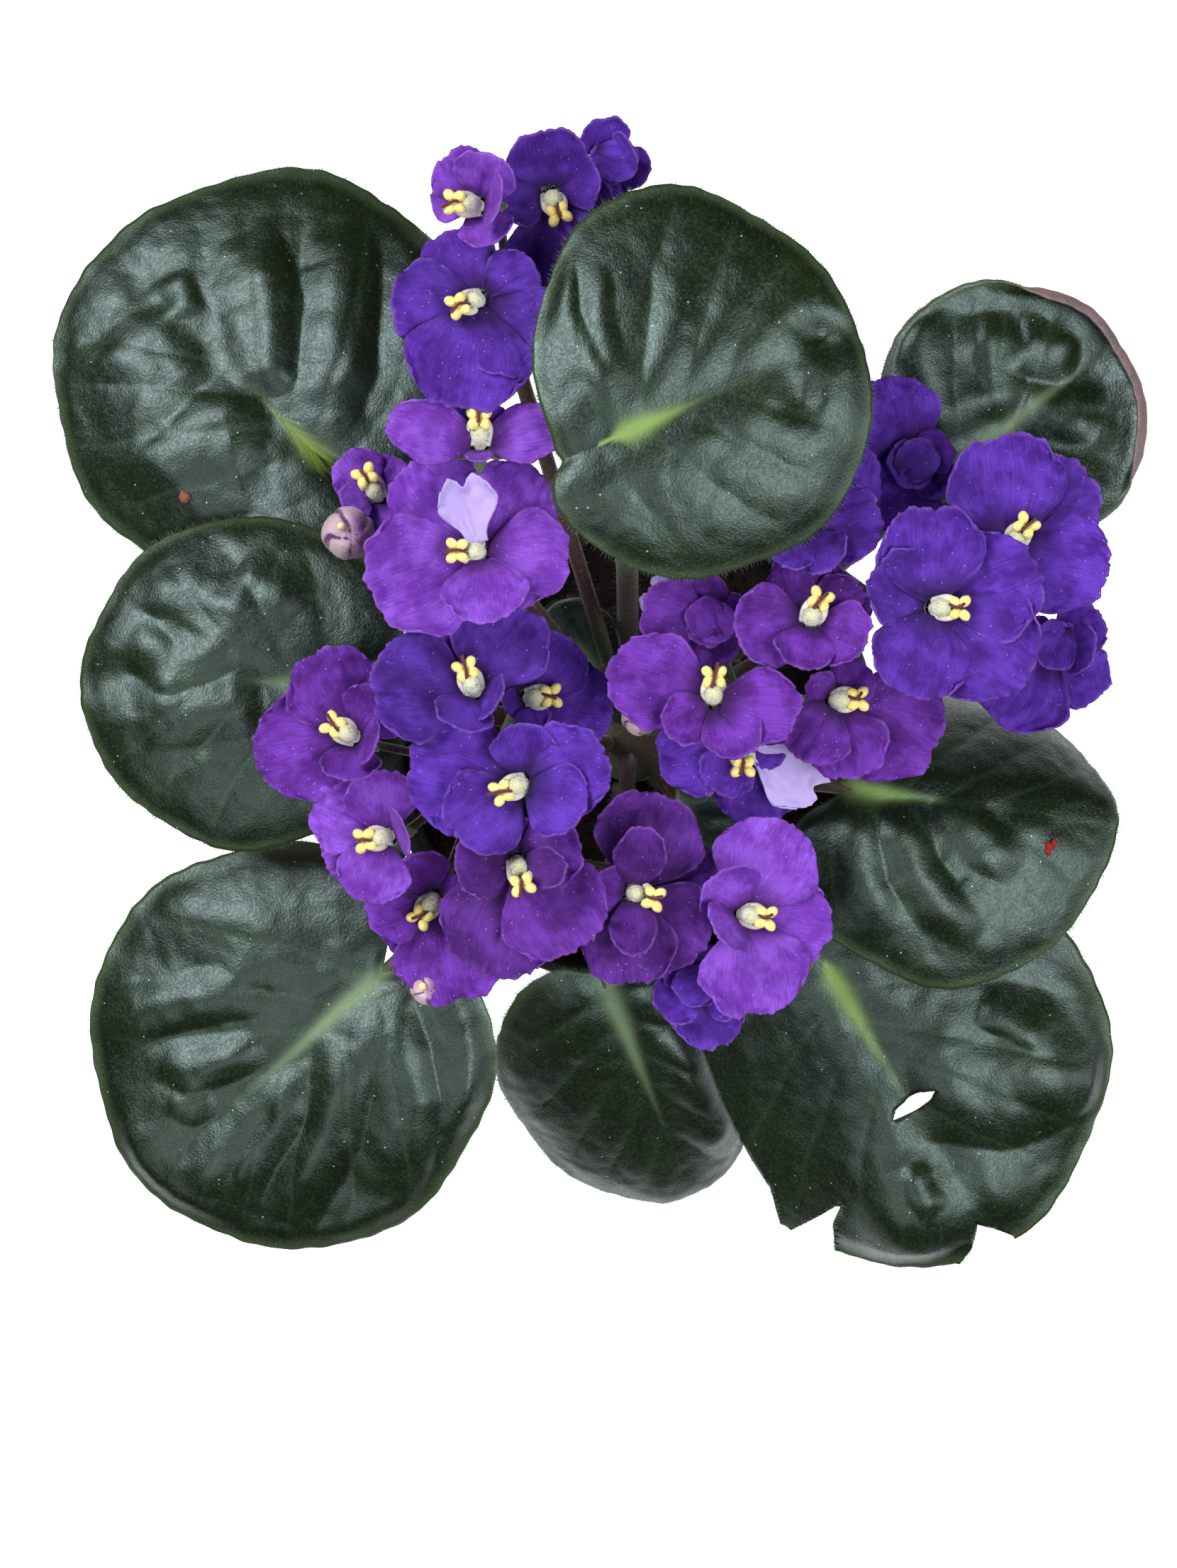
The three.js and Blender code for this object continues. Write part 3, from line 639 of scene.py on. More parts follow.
def tube(bm: BMesh, frames: Sequence[Matrix], radius: Callable[[float], float],
         sides: int) -> list[BMVert]:
    """Extrudes a closed round tube along frames.

    Args:
        bm: the mesh that it is added to.
        frames: its frames, +Z along it.
        radius: its radius at a share of its length.
        sides: corners of its section.

    Returns:
        Its vertices.
    """
    last = len(frames) - 1
    placed = [frame @ Matrix.Scale(radius(i / last), 4) for i, frame in enumerate(frames)]
    ring = bmesh.ops.create_circle(bm, cap_ends=True, segments=sides, radius=1, matrix=placed[0])
    verts = ring["verts"]
    every = list(verts)
    edges = list(dict.fromkeys(edge for vert in verts for edge in vert.link_edges))
    for before, after in zip(placed, placed[1:]):
        grown = bmesh.ops.extrude_edge_only(bm, edges=edges)["geom"]
        verts = [item for item in grown if isinstance(item, BMVert)]
        edges = [item for item in grown if isinstance(item, BMEdge)]
        bmesh.ops.transform(bm, matrix=after @ before.inverted(), verts=verts)
        every += verts
    bmesh.ops.contextual_create(bm, geom=edges)
    return every


def lathe(bm: BMesh, profile: Sequence[Pair], steps: int,
          matrix: Matrix = Matrix()) -> list[BMVert]:
    """Spins a profile round +Z.

    Args:
        bm: the mesh that it is added to.
        profile: radius and height pairs.
        steps: how many steps the turn has.
        matrix: where the turned shape goes.

    Returns:
        Its vertices.
    """
    verts = [bm.verts.new((radius, 0, height)) for radius, height in profile]
    edges = [bm.edges.new(pair) for pair in zip(verts, verts[1:])]
    bm.verts.index_update()
    known = len(bm.verts) - len(verts)
    bmesh.ops.spin(bm, geom=verts + edges, axis=(0, 0, 1), cent=(0, 0, 0),
                   angle=math.tau, steps=steps, use_merge=True)
    bm.verts.ensure_lookup_table()
    made = bm.verts[known:]
    bmesh.ops.remove_doubles(bm, verts=made, dist=1e-4)
    bm.verts.ensure_lookup_table()
    made = bm.verts[known:]
    bmesh.ops.transform(bm, matrix=matrix, verts=made)
    return made


def thicken(bm: BMesh, verts: Sequence[BMVert], thickness: Callable[[BMVert], float],
            mark: Callable[[BMVert], None]) -> list[BMVert]:
    """Turns an open surface into a shell with a rim.

    Args:
        bm: the mesh.
        verts: the surface's vertices.
        thickness: the shell's thickness at a vertex.
        mark: what is done to each vertex of the underside.

    Returns:
        The vertices of the underside.
    """
    bm.normal_update()
    tag = bm.verts.layers.int["tag"]
    offsets = []
    for i, vert in enumerate(verts):
        vert[tag] = i
        offsets.append(vert.normal * thickness(vert) / 2)
    faces = list(dict.fromkeys(face for vert in verts for face in vert.link_faces))
    grown = bmesh.ops.extrude_face_region(bm, geom=faces, use_keep_orig=True)["geom"]
    under = [item for item in grown if isinstance(item, BMVert)]
    for vert in verts:
        vert.co += offsets[vert[tag]]
    for vert in under:
        vert.co -= offsets[vert[tag]]
        mark(vert)
    return under


def ball(bm: BMesh, fineness: int, matrix: Matrix) -> list[BMVert]:
    """Adds a ball of radius 1, shaped and placed by a matrix."""
    return bmesh.ops.create_icosphere(
        bm, subdivisions=fineness, radius=1, matrix=matrix)["verts"]


def in_metres(name: str, bm: BMesh) -> bpy.types.Mesh:
    """Ends a bmesh in millimetres as a mesh in metres, its faces turned outwards.

    Args:
        name: the mesh's name.
        bm: the bmesh, which is freed.

    Returns:
        The mesh.
    """
    mesh = bpy.data.meshes.new(name)
    bmesh.ops.recalc_face_normals(bm, faces=bm.faces)
    bmesh.ops.scale(bm, vec=Vector((METRES,) * 3), verts=bm.verts)
    bm.to_mesh(mesh)
    bm.free()
    return mesh


def stand(name: str, data: bpy.types.ID) -> bpy.types.Object:
    """Puts an object into the scene.

    Args:
        name: its name.
        data: its mesh, light or camera.

    Returns:
        The object.
    """
    made = bpy.data.objects.new(name, data)
    bpy.context.scene.collection.objects.link(made)
    return made


class Hairs:
    """A coat of fine hairs, each a three-sided cone."""

    UNRULY = 0.25
    SIZES = (0.6, 1.2)

    def __init__(self, seed: int) -> None:
        """Starts an empty coat with its own random draws."""
        self.draw = random.Random(seed)
        self.places: list[Matrix] = []

    def add(self, root: Vector, direction: Vector, length: float, radius: float = 0.05) -> None:
        """Adds one hair, with a little of its own in direction and length.

        Args:
            root: where it grows.
            direction: where it points.
            length: how long it is, before its own share is added.
            radius: its radius at the root.
        """
        aim = (direction.normalized() + stray(self.draw, self.UNRULY)).normalized()
        size = length * self.draw.uniform(*self.SIZES)
        shape = Matrix.Diagonal((radius, radius, size, 1))
        self.places.append(placed(root, UP.rotation_difference(aim)) @ shape)

    def along(self, frames: Sequence[Matrix], radius: Callable[[float], float], count: int,
              length: float) -> None:
        """Covers a tube with hairs that stand out from it.

        Args:
            frames: the tube's frames.
            radius: its radius at a share of its length.
            count: how many hairs there are.
            length: how long they are.
        """
        last = len(frames) - 1
        for _ in range(count):
            place = self.draw.uniform(0, last - 1e-6)
            frame = frames[int(place)].lerp(frames[int(place) + 1], place % 1)
            out = frame.to_quaternion() @ compass(self.draw.uniform(0, 360))
            self.add(frame.translation + out * radius(place / last) * 0.95, out, length)

    def mesh(self, name: str) -> bpy.types.Mesh:
        """The whole coat as one mesh in metres, with tone telling root, tip and shade.

        Args:
            name: the mesh's name.

        Returns:
            The mesh.
        """
        cone = bmesh.new()
        bmesh.ops.create_cone(cone, segments=3, radius1=1, radius2=0, depth=1, cap_ends=False,
                              matrix=Matrix.Translation((0, 0, 0.5)))
        bmesh.ops.remove_doubles(cone, verts=cone.verts, dist=1e-4)
        corners = np.array([[*vert.co, 1] for vert in cone.verts])
        faces = np.array([[vert.index for vert in face.verts] for face in cone.faces])
        cone.free()
        points = np.einsum("nij,kj->nki", np.array(self.places), corners)[..., :3] * METRES
        count = len(self.places)
        shift = np.arange(count)[:, None, None] * len(corners)
        mesh = bpy.data.meshes.new(name)
        mesh.from_pydata(points.reshape(-1, 3), [], (faces[None] + shift).reshape(-1, 3))
        tone = np.zeros((count, len(corners), 3), np.float32)
        tone[:, :, 0] = corners[:, 2]
        tone[:, :, 1] = np.array([self.draw.random() for _ in range(count)])[:, None]
        facts = mesh.attributes.new("tone", "FLOAT_VECTOR", "POINT")
        facts.data.foreach_set("vector", tone.ravel())
        return mesh


class Maker:
    """Finishes meshes as named pieces of the part."""

    def __init__(self) -> None:
        """Starts with no materials."""
        self.materials: dict[str, bpy.types.Material] = {}

    def dress(self, mesh: bpy.types.Mesh, finish: object) -> None:
        """Gives a mesh the material of a finish, which is made once.

        Args:
            mesh: the mesh.
            finish: one of the finishes above.
        """
        if finish.name not in self.materials:
            self.materials[finish.name] = finish.material()
        mesh.materials.append(self.materials[finish.name])

    def piece(self, name: str, shape: BMesh | bpy.types.Mesh, finish: object,
              nodes: Sequence[str]) -> bpy.types.Object:
        """Makes a piece that rides on the part.

        Args:
            name: the piece's name.
            shape: its mesh, a bmesh in millimetres or a finished mesh in metres.
            finish: its finish.
            nodes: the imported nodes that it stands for.

        Returns:
            The object.
        """
        mesh = in_metres(name, shape) if isinstance(shape, BMesh) else shape
        mesh.polygons.foreach_set("use_smooth", np.ones(len(mesh.polygons), bool))
        self.dress(mesh, finish)
        made = stand(name, mesh)
        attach(made, "root")
        if nodes:
            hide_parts(*nodes)
        mesh.calc_loop_triangles()
        log.info("%s: %d triangles", name, len(mesh.loop_triangles))
        return made


# Pot and potting mix


@dataclass
class Pot:
    """Plain tapered pot with a rim band, a foot ring and drain holes."""

    height: float = 84.0
    wall: float = 1.8
    rim_radius: float = 49.0
    rim_band: float = 15.0
    rim_step: float = 3.0
    foot_radius: float = 35.0
    foot_ring: float = 5.0
    pad_radius: float = 11.0
    recess: float = 2.5
    drains: int = 4
    drain_radius: float = 3.0
    steps: int = 96

    def profile(self) -> list[Pair]:
        """Radius and height pairs, round the wall from the pad to the floor inside."""
        band = self.height - self.rim_band
        ring = self.foot_radius - self.foot_ring
        neck = self.rim_radius - self.rim_step
        lip = self.rim_radius - self.wall
        floor = self.recess + self.wall
        return [
            (0, 0), (self.pad_radius, 0), (self.pad_radius + self.recess, self.recess),
            (ring, self.recess), (ring, 0.3), (ring + 0.3, 0),
            (self.foot_radius - 0.5, 0), (self.foot_radius + 0.05, 0.6),
            (neck - 0.05, band - 0.4), (neck + 0.3, band), (self.rim_radius - 1.4, band + 0.3),
            (self.rim_radius - 1, band + 0.8), (self.rim_radius - 0.1, self.height - 1.3),
            (self.rim_radius - 0.2, self.height - 0.5), (self.rim_radius - 0.7, self.height - 0.05),
            (lip, self.height - 0.05), (lip - 0.5, self.height - 0.6), (lip - 1, band + 2),
            (neck - self.wall, band - 1), (self.foot_radius - self.wall, floor), (0, floor),
        ]

    def build(self, maker: Maker) -> None:
        """Spins the wall and drills the drains.

        Args:
            maker: takes the finished piece.
        """
        bm = bmesh.new()
        lathe(bm, self.profile(), self.steps)
        self.drill(maker.piece("pot_shell", bm, MouldedPlastic(), ["pot"]))

    def drill(self, pot: bpy.types.Object) -> None:
        """Cuts the drain holes through the floor.

        Args:
            pot: the undrilled pot, whose mesh is replaced.
        """
        ring = (self.pad_radius + self.recess + self.foot_radius - self.foot_ring) / 2
        bm = bmesh.new()
        for i in range(self.drains):
            place = compass(360 * i / self.drains, ring) + UP * (self.recess + self.wall / 2)
            bmesh.ops.create_cone(
                bm, cap_ends=True, segments=24, radius1=self.drain_radius,
                radius2=self.drain_radius, depth=3 * self.wall, matrix=Matrix.Translation(place))
        drills = stand("drills", in_metres("drills", bm))
        cut = pot.modifiers.new("drains", "BOOLEAN")
        cut.operation = "DIFFERENCE"
        cut.object = drills
        graph = bpy.context.evaluated_depsgraph_get()
        drilled = bpy.data.meshes.new_from_object(pot.evaluated_get(graph))
        pot.modifiers.remove(cut)
        pot.data = drilled
        drilled.name = "pot_shell"
        bpy.data.objects.remove(drills)


@dataclass
class PottingMix:
    """Crumbly peat that fills the pot to its rim band."""

    level: float = 74.0
    edge: float = 45.0
    low: float = 4.6
    low_radius: float = 32.8
    rings: int = 32
    ring_step: float = 1.1
    lumpiness: float = 1.3
    crumbs: int = 900
    crumb_zone: Pair = (11.5, 43.5)

    def build(self, maker: Maker) -> None:
        """Turns the body of the mix, with a hole for the crown, and scatters crumbs on it.

        Args:
            maker: takes the finished pieces.
        """
        bm = bmesh.new()
        bore = CROWN_RADIUS + FIT_GAP
        rings = [bore + self.ring_step * i for i in range(self.rings)]
        profile = [(0, self.low), (self.low_radius, self.low), (44.0, 68.0), (self.edge - 0.2, 71.5)]
        profile += [(radius, self.level + 0.8) for radius in reversed(rings) if radius < self.edge]
        profile += [(bore, self.level - 3), (bore, self.level - 6), (0, self.level - 6)]
        lathe(bm, profile, steps=110)
        for vert in bm.verts:
            if vert.co.z > self.level:
                vert.co.z = self.height(vert.co.x, vert.co.y)
        maker.piece("mix_body", bm, PeatMix(), ["potting_mix"])
        self.scatter(maker)

    def height(self, x: float, y: float) -> float:
        """Height of the lumpy surface, which falls towards the pot's wall."""
        lump = self.lumpiness * noise.fractal(Vector((x, y, 3)) * 0.16, 1.0, 2.0, 4)
        return self.level + 0.9 + lump - 2.4 * smooth(35, 45, math.hypot(x, y))

    def scatter(self, maker: Maker) -> None:
        """Lays loose crumbs, each half sunk in the surface.

        Args:
            maker: takes the finished piece.
        """
        draw = random.Random(7)
        bm = bmesh.new()
        for _ in range(self.crumbs):
            spot = compass(draw.uniform(0, 360), draw.uniform(*self.crumb_zone))
            size = draw.uniform(0.5, 1.5) * draw.uniform(0.6, 1.0)
            spin = Quaternion((*stray(draw, 1), 1)).normalized()
            shape = (size, size * draw.uniform(0.5, 1), size * draw.uniform(0.4, 0.8), 1)
            spot.z = self.height(spot.x, spot.y) + 0.1
            ball(bm, 1, placed(spot, spin) @ Matrix.Diagonal(shape))
        maker.piece("mix_crumbs", bm, PeatMix(), ["potting_mix"])


@dataclass(frozen=True)
class Litter:
    """A dry scrap of a few lumps that lies on a leaf."""

    leaf: str
    at: Pair
    size: float
    colour: Colour
    lumps: int = 5
    drop_from: float = 200.0

    def build(self, maker: Maker) -> None:
        """Drops the scrap on its leaf.

        Args:
            maker: takes the finished piece.
        """
        blade = bpy.data.objects[f"{self.leaf}_blade"]
        _, spot, _, _ = blade.ray_cast(Vector((*self.at, self.drop_from)) * METRES, -UP)
        draw = random.Random(self.leaf)
        bm = bmesh.new()
        for _ in range(self.lumps):
            aside = compass(draw.uniform(0, 360), draw.uniform(0, 0.9) * self.size)
            place = Matrix.Translation(spot / METRES + aside + UP * 0.2 * self.size)
            shape = Vector((draw.uniform(0.5, 0.9), draw.uniform(0.4, 0.7), 0.4)) * self.size
            turn = Matrix.Rotation(draw.uniform(0, 3), 4, "Z")
            ball(bm, 1, place @ turn @ Matrix.Diagonal((*shape, 1)))
        name = f"litter_{self.leaf}"
        maker.piece(name, bm, ScrapSkin(self.colour, name), [])


LITTER = (
    Litter("leaf_1", (-84.5, 45.0), 1.8, rgb(0.240, 0.080, 0.050)),
    Litter("leaf_6", (77.6, -20.9), 1.3, rgb(0.260, 0.020, 0.012)),
)


# Leaves


@dataclass(frozen=True)
class Half:
    """One half of a blade, beside the midrib.

    Attributes:
        wide: from the midrib to the margin.
        fold: how far the half is folded down, in degrees.
        veins: where the side veins leave the midrib, from the joint towards the tip.
        puffs: how high the blade swells between each pair of veins.
        rake: how far forward a vein runs for each millimetre out, at the joint.
        fan: how much more that is further along the midrib.
        bow: how strongly the veins curve towards the tip.
    """

    wide: float
    fold: float
    veins: tuple[float, ...] = (-14, -4, 3, 10, 18, 27, 38, 52)
    puffs: tuple[float, ...] = (1.0, 1.6, 1.8, 1.8, 1.6, 1.2, 0.8)
    rake: float = 0.3
    fan: float = 0.045
    bow: float = 0.006


@dataclass(frozen=True)
class Swell:
    """A bulge of one blade, or a hollow where the height is negative, as seen from above."""

    x: float
    y: float
    along: float
    across: float
    turn: float
    height: float

    def at(self, spot: Vector) -> float:
        """Its height at a point."""
        turn = math.radians(self.turn)
        dx, dy = spot.x - self.x, spot.y - self.y
        a = (dx * math.cos(turn) + dy * math.sin(turn)) / self.along
        b = (dy * math.cos(turn) - dx * math.sin(turn)) / self.across
        return self.height * math.exp(-(a * a + b * b))


@dataclass(frozen=True)
class Rib:
    """A curved ridge of one blade, as seen from above.

    Attributes:
        crest: points along its top.
        height: how high it stands.
        gentle: width of its flank towards -X and +Y.
        steep: width of its other flank.
    """

    crest: tuple[Pair, ...]
    height: float
    gentle: float
    steep: float

    def at(self, spot: Vector) -> float:
        """Its height at a point.

        Args:
            spot: the point, whose height isn't used.

        Returns:
            The height, 0 well away from the ridge.
        """
        best, share, away = 1e9, 0.0, Vector((0, 0))
        last = len(self.crest) - 1
        for i, (a, b) in enumerate(zip(self.crest, self.crest[1:])):
            edge = Vector(b) - Vector(a)
            offset = spot.xy - Vector(a)
            along = min(1.0, max(0.0, offset.dot(edge) / edge.length_squared))
            gap = offset - edge * along
            if gap.length < best:
                best, share, away = gap.length, (i + along) / last, gap
        if best > 3 * max(self.gentle, self.steep):
            return 0.0
        aspect = (away.y - away.x) / (1.414 * max(best, 1e-3))
        ends = smooth(-0.10, 0.28, share) * smooth(1.10, 0.72, share)
        rounded = bell(best, self.gentle)
        creased = max(0.0, 1 - (best / (1.5 * self.steep)) ** 2)
        side = smooth(-0.4, 0.4, aspect)
        return self.height * ends * (creased + (rounded - creased) * side)


@dataclass
class Leaf:
    """A round blade on a long petiole.

    Attributes:
        joint: where the blade meets its petiole.
        heading: compass direction of the midrib.
        dip: how steeply the blade falls to its tip.
        bank: its tilt to the left.
        length: from the joint to the tip.
        lobe: from the joint back to the ends of the base lobes.
        left, right: its halves.
        arch: fall of the tip and of the two edges.
        curl: lift of the margin.
        tier: height at which the petiole leaves the crown.
        pale_run: share of the midrib, from the joint, that is pale.
        far_lobe: like lobe, on the right half, where that is longer.
        sinus, cleft: width of the notch between the lobes, and how far it reaches to the joint.
        quilt: how strongly the blade swells between its veins.
        rolled: where the rolled stretch of the margin starts and ends, in degrees.
        fuzz, fringe: hairs on the blade and along its margin.
        roll_from: reach at which the rolled margin starts to turn up.
        roll_turn: how far it turns, in radians.
    """

    name: str
    joint: Triple
    heading: float
    dip: float
    bank: float
    length: float
    lobe: float
    left: Half
    right: Half
    arch: Pair
    curl: float
    tier: float = LOW_TIER
    start_radius: float = CROWN_RADIUS + FIT_GAP
    petiole_radius: float = 2.1
    cell: float = 0.75
    thickness: float = 1.1
    midrib_groove: float = 1.1
    groove_width: float = 4.0
    yellow: float = 0.0
    pale_run: float = 0.6
    far_lobe: float = 0.0
    sinus: float = 0.2
    cleft: float = 1.0
    quilt: float = 1.0
    rolled: Pair | None = None
    swells: tuple[Swell | Rib, ...] = ()
    tears: tuple[tuple[Pair, ...], ...] = ()
    fuzz: int = 1500
    fringe: int = 1100
    vein_width: float = 0.55
    roll_from: float = 0.86
    roll_turn: float = 2.7
    roll_height: float = 1.7

    def frame(self) -> Matrix:
        """The blade's frame: x along the midrib, y to the left."""
        turn = (Quaternion(UP, math.radians(self.heading))
                @ Quaternion((0, 1, 0), math.radians(self.dip))
                @ Quaternion((1, 0, 0), math.radians(self.bank)))
        return placed(self.joint, turn)

    def half(self, side: float) -> Half:
        """The half on a side of the midrib."""
        return self.left if side > 0 else self.right

    def plan(self, p: float, q: float) -> Triple:
        """Flat place of a point of the square grid.

        Args:
            p: grid place along the midrib, from -1 to 1.
            q: grid place across it.

        Returns:
            Along the midrib, to the left, and 0 in the middle to 1 at the margin.
        """
        lobe = self.lobe + max(0.0, self.far_lobe - self.lobe) * smooth(0.25, -0.35, q)
        ahead, long = (self.length - lobe) / 2, (self.length + lobe) / 2
        x = p * math.sqrt(1 - q * q / 2)
        y = q * math.sqrt(1 - p * p / 2)
        turn = math.atan2(y, x)
        reach = math.hypot(x, y)
        from_base = (math.pi - abs(turn)) / self.sinus
        notch = self.cleft * (1 - ahead / long) * math.exp(-from_base * from_base)
        wave = 0.012 * math.sin(5 * turn + self.length) + 0.01 * math.sin(8 * turn + self.heading)
        crimp = 0.002 * math.sin(31 * turn + self.heading) + 0.002 * math.sin(47 * turn)
        scale = reach * (1 - notch + wave + crimp * reach ** 4)
        wide = self.half(q).wide
        return ahead + long * scale * math.cos(turn), wide * scale * math.sin(turn), reach

    def base_height(self, x: float, y: float, reach: float) -> Pair:
        """Height of the plain blade, without quilting.

        Args:
            x: along the midrib.
            y: to the left.
            reach: 0 in the middle and 1 at the margin.

        Returns:
            The height, and how far from the midrib the fold leaves the point.
        """
        half = self.half(y)
        side = abs(y)
        fold = math.radians(half.fold)
        eased = side * side / (side + self.groove_width)
        tip_fall, edge_fall = self.arch
        height = (-tip_fall * (x / self.length) * abs(x / self.length)
                  - edge_fall * (side / half.wide) ** 2
                  - eased * math.sin(fold)
                  - self.midrib_groove * bell(side, self.groove_width)
                  + self.curl * reach ** 6)
        return height, side - eased * (1 - math.cos(fold))

    def ribs(self, x: float, y: float, reach: float) -> Pair:
        """Swelling between the side veins.

        Args:
            x: along the midrib.
            y: to the left.
            reach: 0 in the middle and 1 at the margin.

        Returns:
            The height of the swelling, and how near the closest side vein is, up to 1.
        """
        half = self.half(y)
        side = abs(y)
        spread = 1 + half.fan * side
        start = (x - half.rake * side - half.bow * side * side) / spread
        start += 0.8 * noise.noise(Vector((x, y, self.heading)) * 0.09)
        near = min(abs(start - vein) for vein in half.veins) * spread
        mark = bell(near, self.vein_width) * smooth(1.0, 0.75, reach)
        for low, high, puff in zip(half.veins, half.veins[1:], half.puffs):
            if low <= start < high:
                share = (start - low) / (high - low)
                swell = self.quilt * puff * (4 * share * (1 - share)) ** 0.75
                room = smooth(0.5, 9.0, side) * smooth(0.97, 0.66, reach)
                return swell * room, mark
        return 0.0, mark

    def shape(self, bm: BMesh, hairs: Hairs) -> None:
        """Draws a flat grid out to the blade's skin, and gives it its thickness.

        Args:
            bm: the empty mesh of the blade.
            hairs: the coat that the blade's hairs are added to.
        """
        plan = bm.verts.layers.float_vector["plan"]
        relief = bm.verts.layers.float_vector["relief"]
        rows = round((self.left.wide + self.right.wide) / self.cell)
        columns = round((self.length + self.lobe) / self.cell)
        grid = bmesh.ops.create_grid(bm, x_segments=columns, y_segments=rows, size=1)["verts"]
        frame = self.frame()
        for vert in grid:
            x, y, reach = self.plan(vert.co.x, vert.co.y)
            height, across = self.base_height(x, y, reach)
            swell, vein = self.ribs(x, y, reach)
            spot = frame @ Vector((x, math.copysign(across, y), height))
            own = sum(bulge.at(spot) for bulge in self.swells) * smooth(1.0, 0.88, reach)
            lumps = 0.25 * noise.noise(spot * 0.22) + 0.10 * noise.noise(spot * 0.55)
            frill = 0.5 * smooth(0.85, 1.0, reach) * noise.noise(spot * 0.16 + Vector((9, 0, 0)))
            height += swell + own + lumps * smooth(1.0, 0.9, reach) + frill
            spot = Vector((x, math.copysign(across, y), height))
            vert.co = frame @ (self.roll(spot, reach) if self.rolled else spot)
            run = self.length * self.pale_run
            strip = (2.1 - 1.6 * smooth(0, run, x)) * smooth(-4, 1, x)
            middle = bell(y, max(strip, 0.05)) * (
                smooth(run * 1.2, run * 0.2, x) + 0.12 * smooth(self.length * 0.9, 0, x))
            vert[plan] = Vector((x / self.length, y / self.half(y).wide, reach))
            vert[relief] = Vector((vein, 0, middle if x > -5 else 0))
        grid = self.tear(bm, grid)

        def mark(vert: BMVert) -> None:
            """Tells a vertex of the underside."""
            vert[relief] = Vector((vert[relief].x, 1, vert[relief].z))

        def thick(vert: BMVert) -> float:
            """The blade thins out to its margin."""
            return self.thickness * (1 - 0.55 * smooth(0.85, 1.0, vert[plan].z))

        self.comb(bm, grid, hairs)
        thicken(bm, grid, thick, mark)

    def roll(self, spot: Vector, reach: float) -> Vector:
        """Rolls a stretch of the margin up and inwards, so that its back shows.

        Args:
            spot: a point in the blade's frame.
            reach: 0 in the middle and 1 at the margin.

        Returns:
            The point after rolling.
        """
        centre = Vector(((self.length - self.lobe) / 2, 0, spot.z))
        out = spot - centre
        turn = math.degrees(math.atan2(out.y, out.x))
        first, last = self.rolled
        weight = smooth(first - 12, first + 12, turn) * smooth(last + 12, last - 12, turn)
        share = max(0.0, (reach - self.roll_from) / (1 - self.roll_from))
        if not weight or not share:
            return spot
        far = out.length
        start = far * self.roll_from / reach
        bend = self.roll_turn * share
        rolled = start + (far / reach - start) * math.sin(bend)
        lifted = centre + out * ((1 - weight) + weight * rolled / far)
        lifted.z = spot.z + weight * self.roll_height * (1 - math.cos(bend))
        return lifted

    def tear(self, bm: BMesh, grid: list[BMVert]) -> list[BMVert]:
        """Takes the torn places out of the blade, and draws its cells to their edges.

        Args:
            bm: the blade's mesh.
            grid: its vertices.

        Returns:
            The vertices that are left.
        """
        if not self.tears:
            return grid
        for outline in self.tears:
            corners = [Vector((x, y, 0)) for x, y in outline]
            gone = [face for face in bm.faces if inside(corners, face.calc_center_median())]
            bmesh.ops.delete(bm, geom=gone, context="FACES")
        left = list(bm.verts)
        for outline in self.tears:
            corners = [Vector((x, y, 0)) for x, y in outline]
            for vert in left:
                if vert.is_boundary:
                    near = nearest_on(corners, vert.co)
                    if (near - vert.co.xy.to_3d()).length < self.cell * 0.8:
                        vert.co.x, vert.co.y = near.x, near.y
        return left

    def comb(self, bm: BMesh, grid: Sequence[BMVert], hairs: Hairs) -> None:
        """Sets hairs on the blade, leaning outwards, and a fringe along its margin.

        Args:
            bm: the blade's mesh, before it has its thickness.
            grid: its vertices.
            hairs: the coat that the hairs are added to.
        """
        bm.normal_update()
        draw = hairs.draw
        middle = self.frame() @ Vector((self.length * 0.3, 0, 0))
        for _ in range(self.fuzz):
            vert = draw.choice(grid)
            out = (vert.co - middle).normalized()
            aim = vert.normal * 0.55 + out * 0.8
            drift = Vector((draw.uniform(-0.4, 0.4), draw.uniform(-0.4, 0.4), 0))
            hairs.add(vert.co + drift + vert.normal * 0.35, aim, length=1.0, radius=0.028)
        rim = [vert for vert in grid if vert.is_boundary]
        for _ in range(self.fringe):
            vert = draw.choice(rim)
            out = (vert.co - middle).normalized()
            aim = out + vert.normal * draw.uniform(-0.6, 0.9)
            root = vert.co + vert.normal * draw.uniform(-0.3, 0.3)
            hairs.add(root, aim, length=1.2, radius=0.035)

    def petiole(self) -> list[Matrix]:
        """Frames of the petiole, from the crown to under the blade."""
        frame = self.frame()
        away = math.atan2(self.joint[1], self.joint[0])
        start = Vector((self.start_radius * math.cos(away), self.start_radius * math.sin(away),
                        self.tier))

        def under(share: float, drop: float) -> Vector:
            """A point below the midrib."""
            x = share * self.length
            height = -self.arch[0] * (x / self.length) ** 2 - self.midrib_groove
            return frame @ Vector((x, 0, height)) - UP * drop

        end = under(0.3, self.petiole_radius - 0.3)
        joint = under(0, self.petiole_radius + 0.2)
        outward = Vector((joint.x - start.x, joint.y - start.y, 0)).normalized()
        level = start + outward * 5
        rise = start.lerp(joint, 0.5) + UP * 2.5
        return Curve([start, level, rise, joint, end]).frames(steps=36)

    def stalk_radius(self, share: float) -> float:
        """Petiole radius, wider where it joins the crown and thinning into the midrib."""
        thinning = 1 - 0.5 * smooth(0.6, 0.75, share) - 0.3 * smooth(0.75, 1.0, share)
        return self.petiole_radius * (1 + 0.12 * bell(share, 0.1)) * thinning

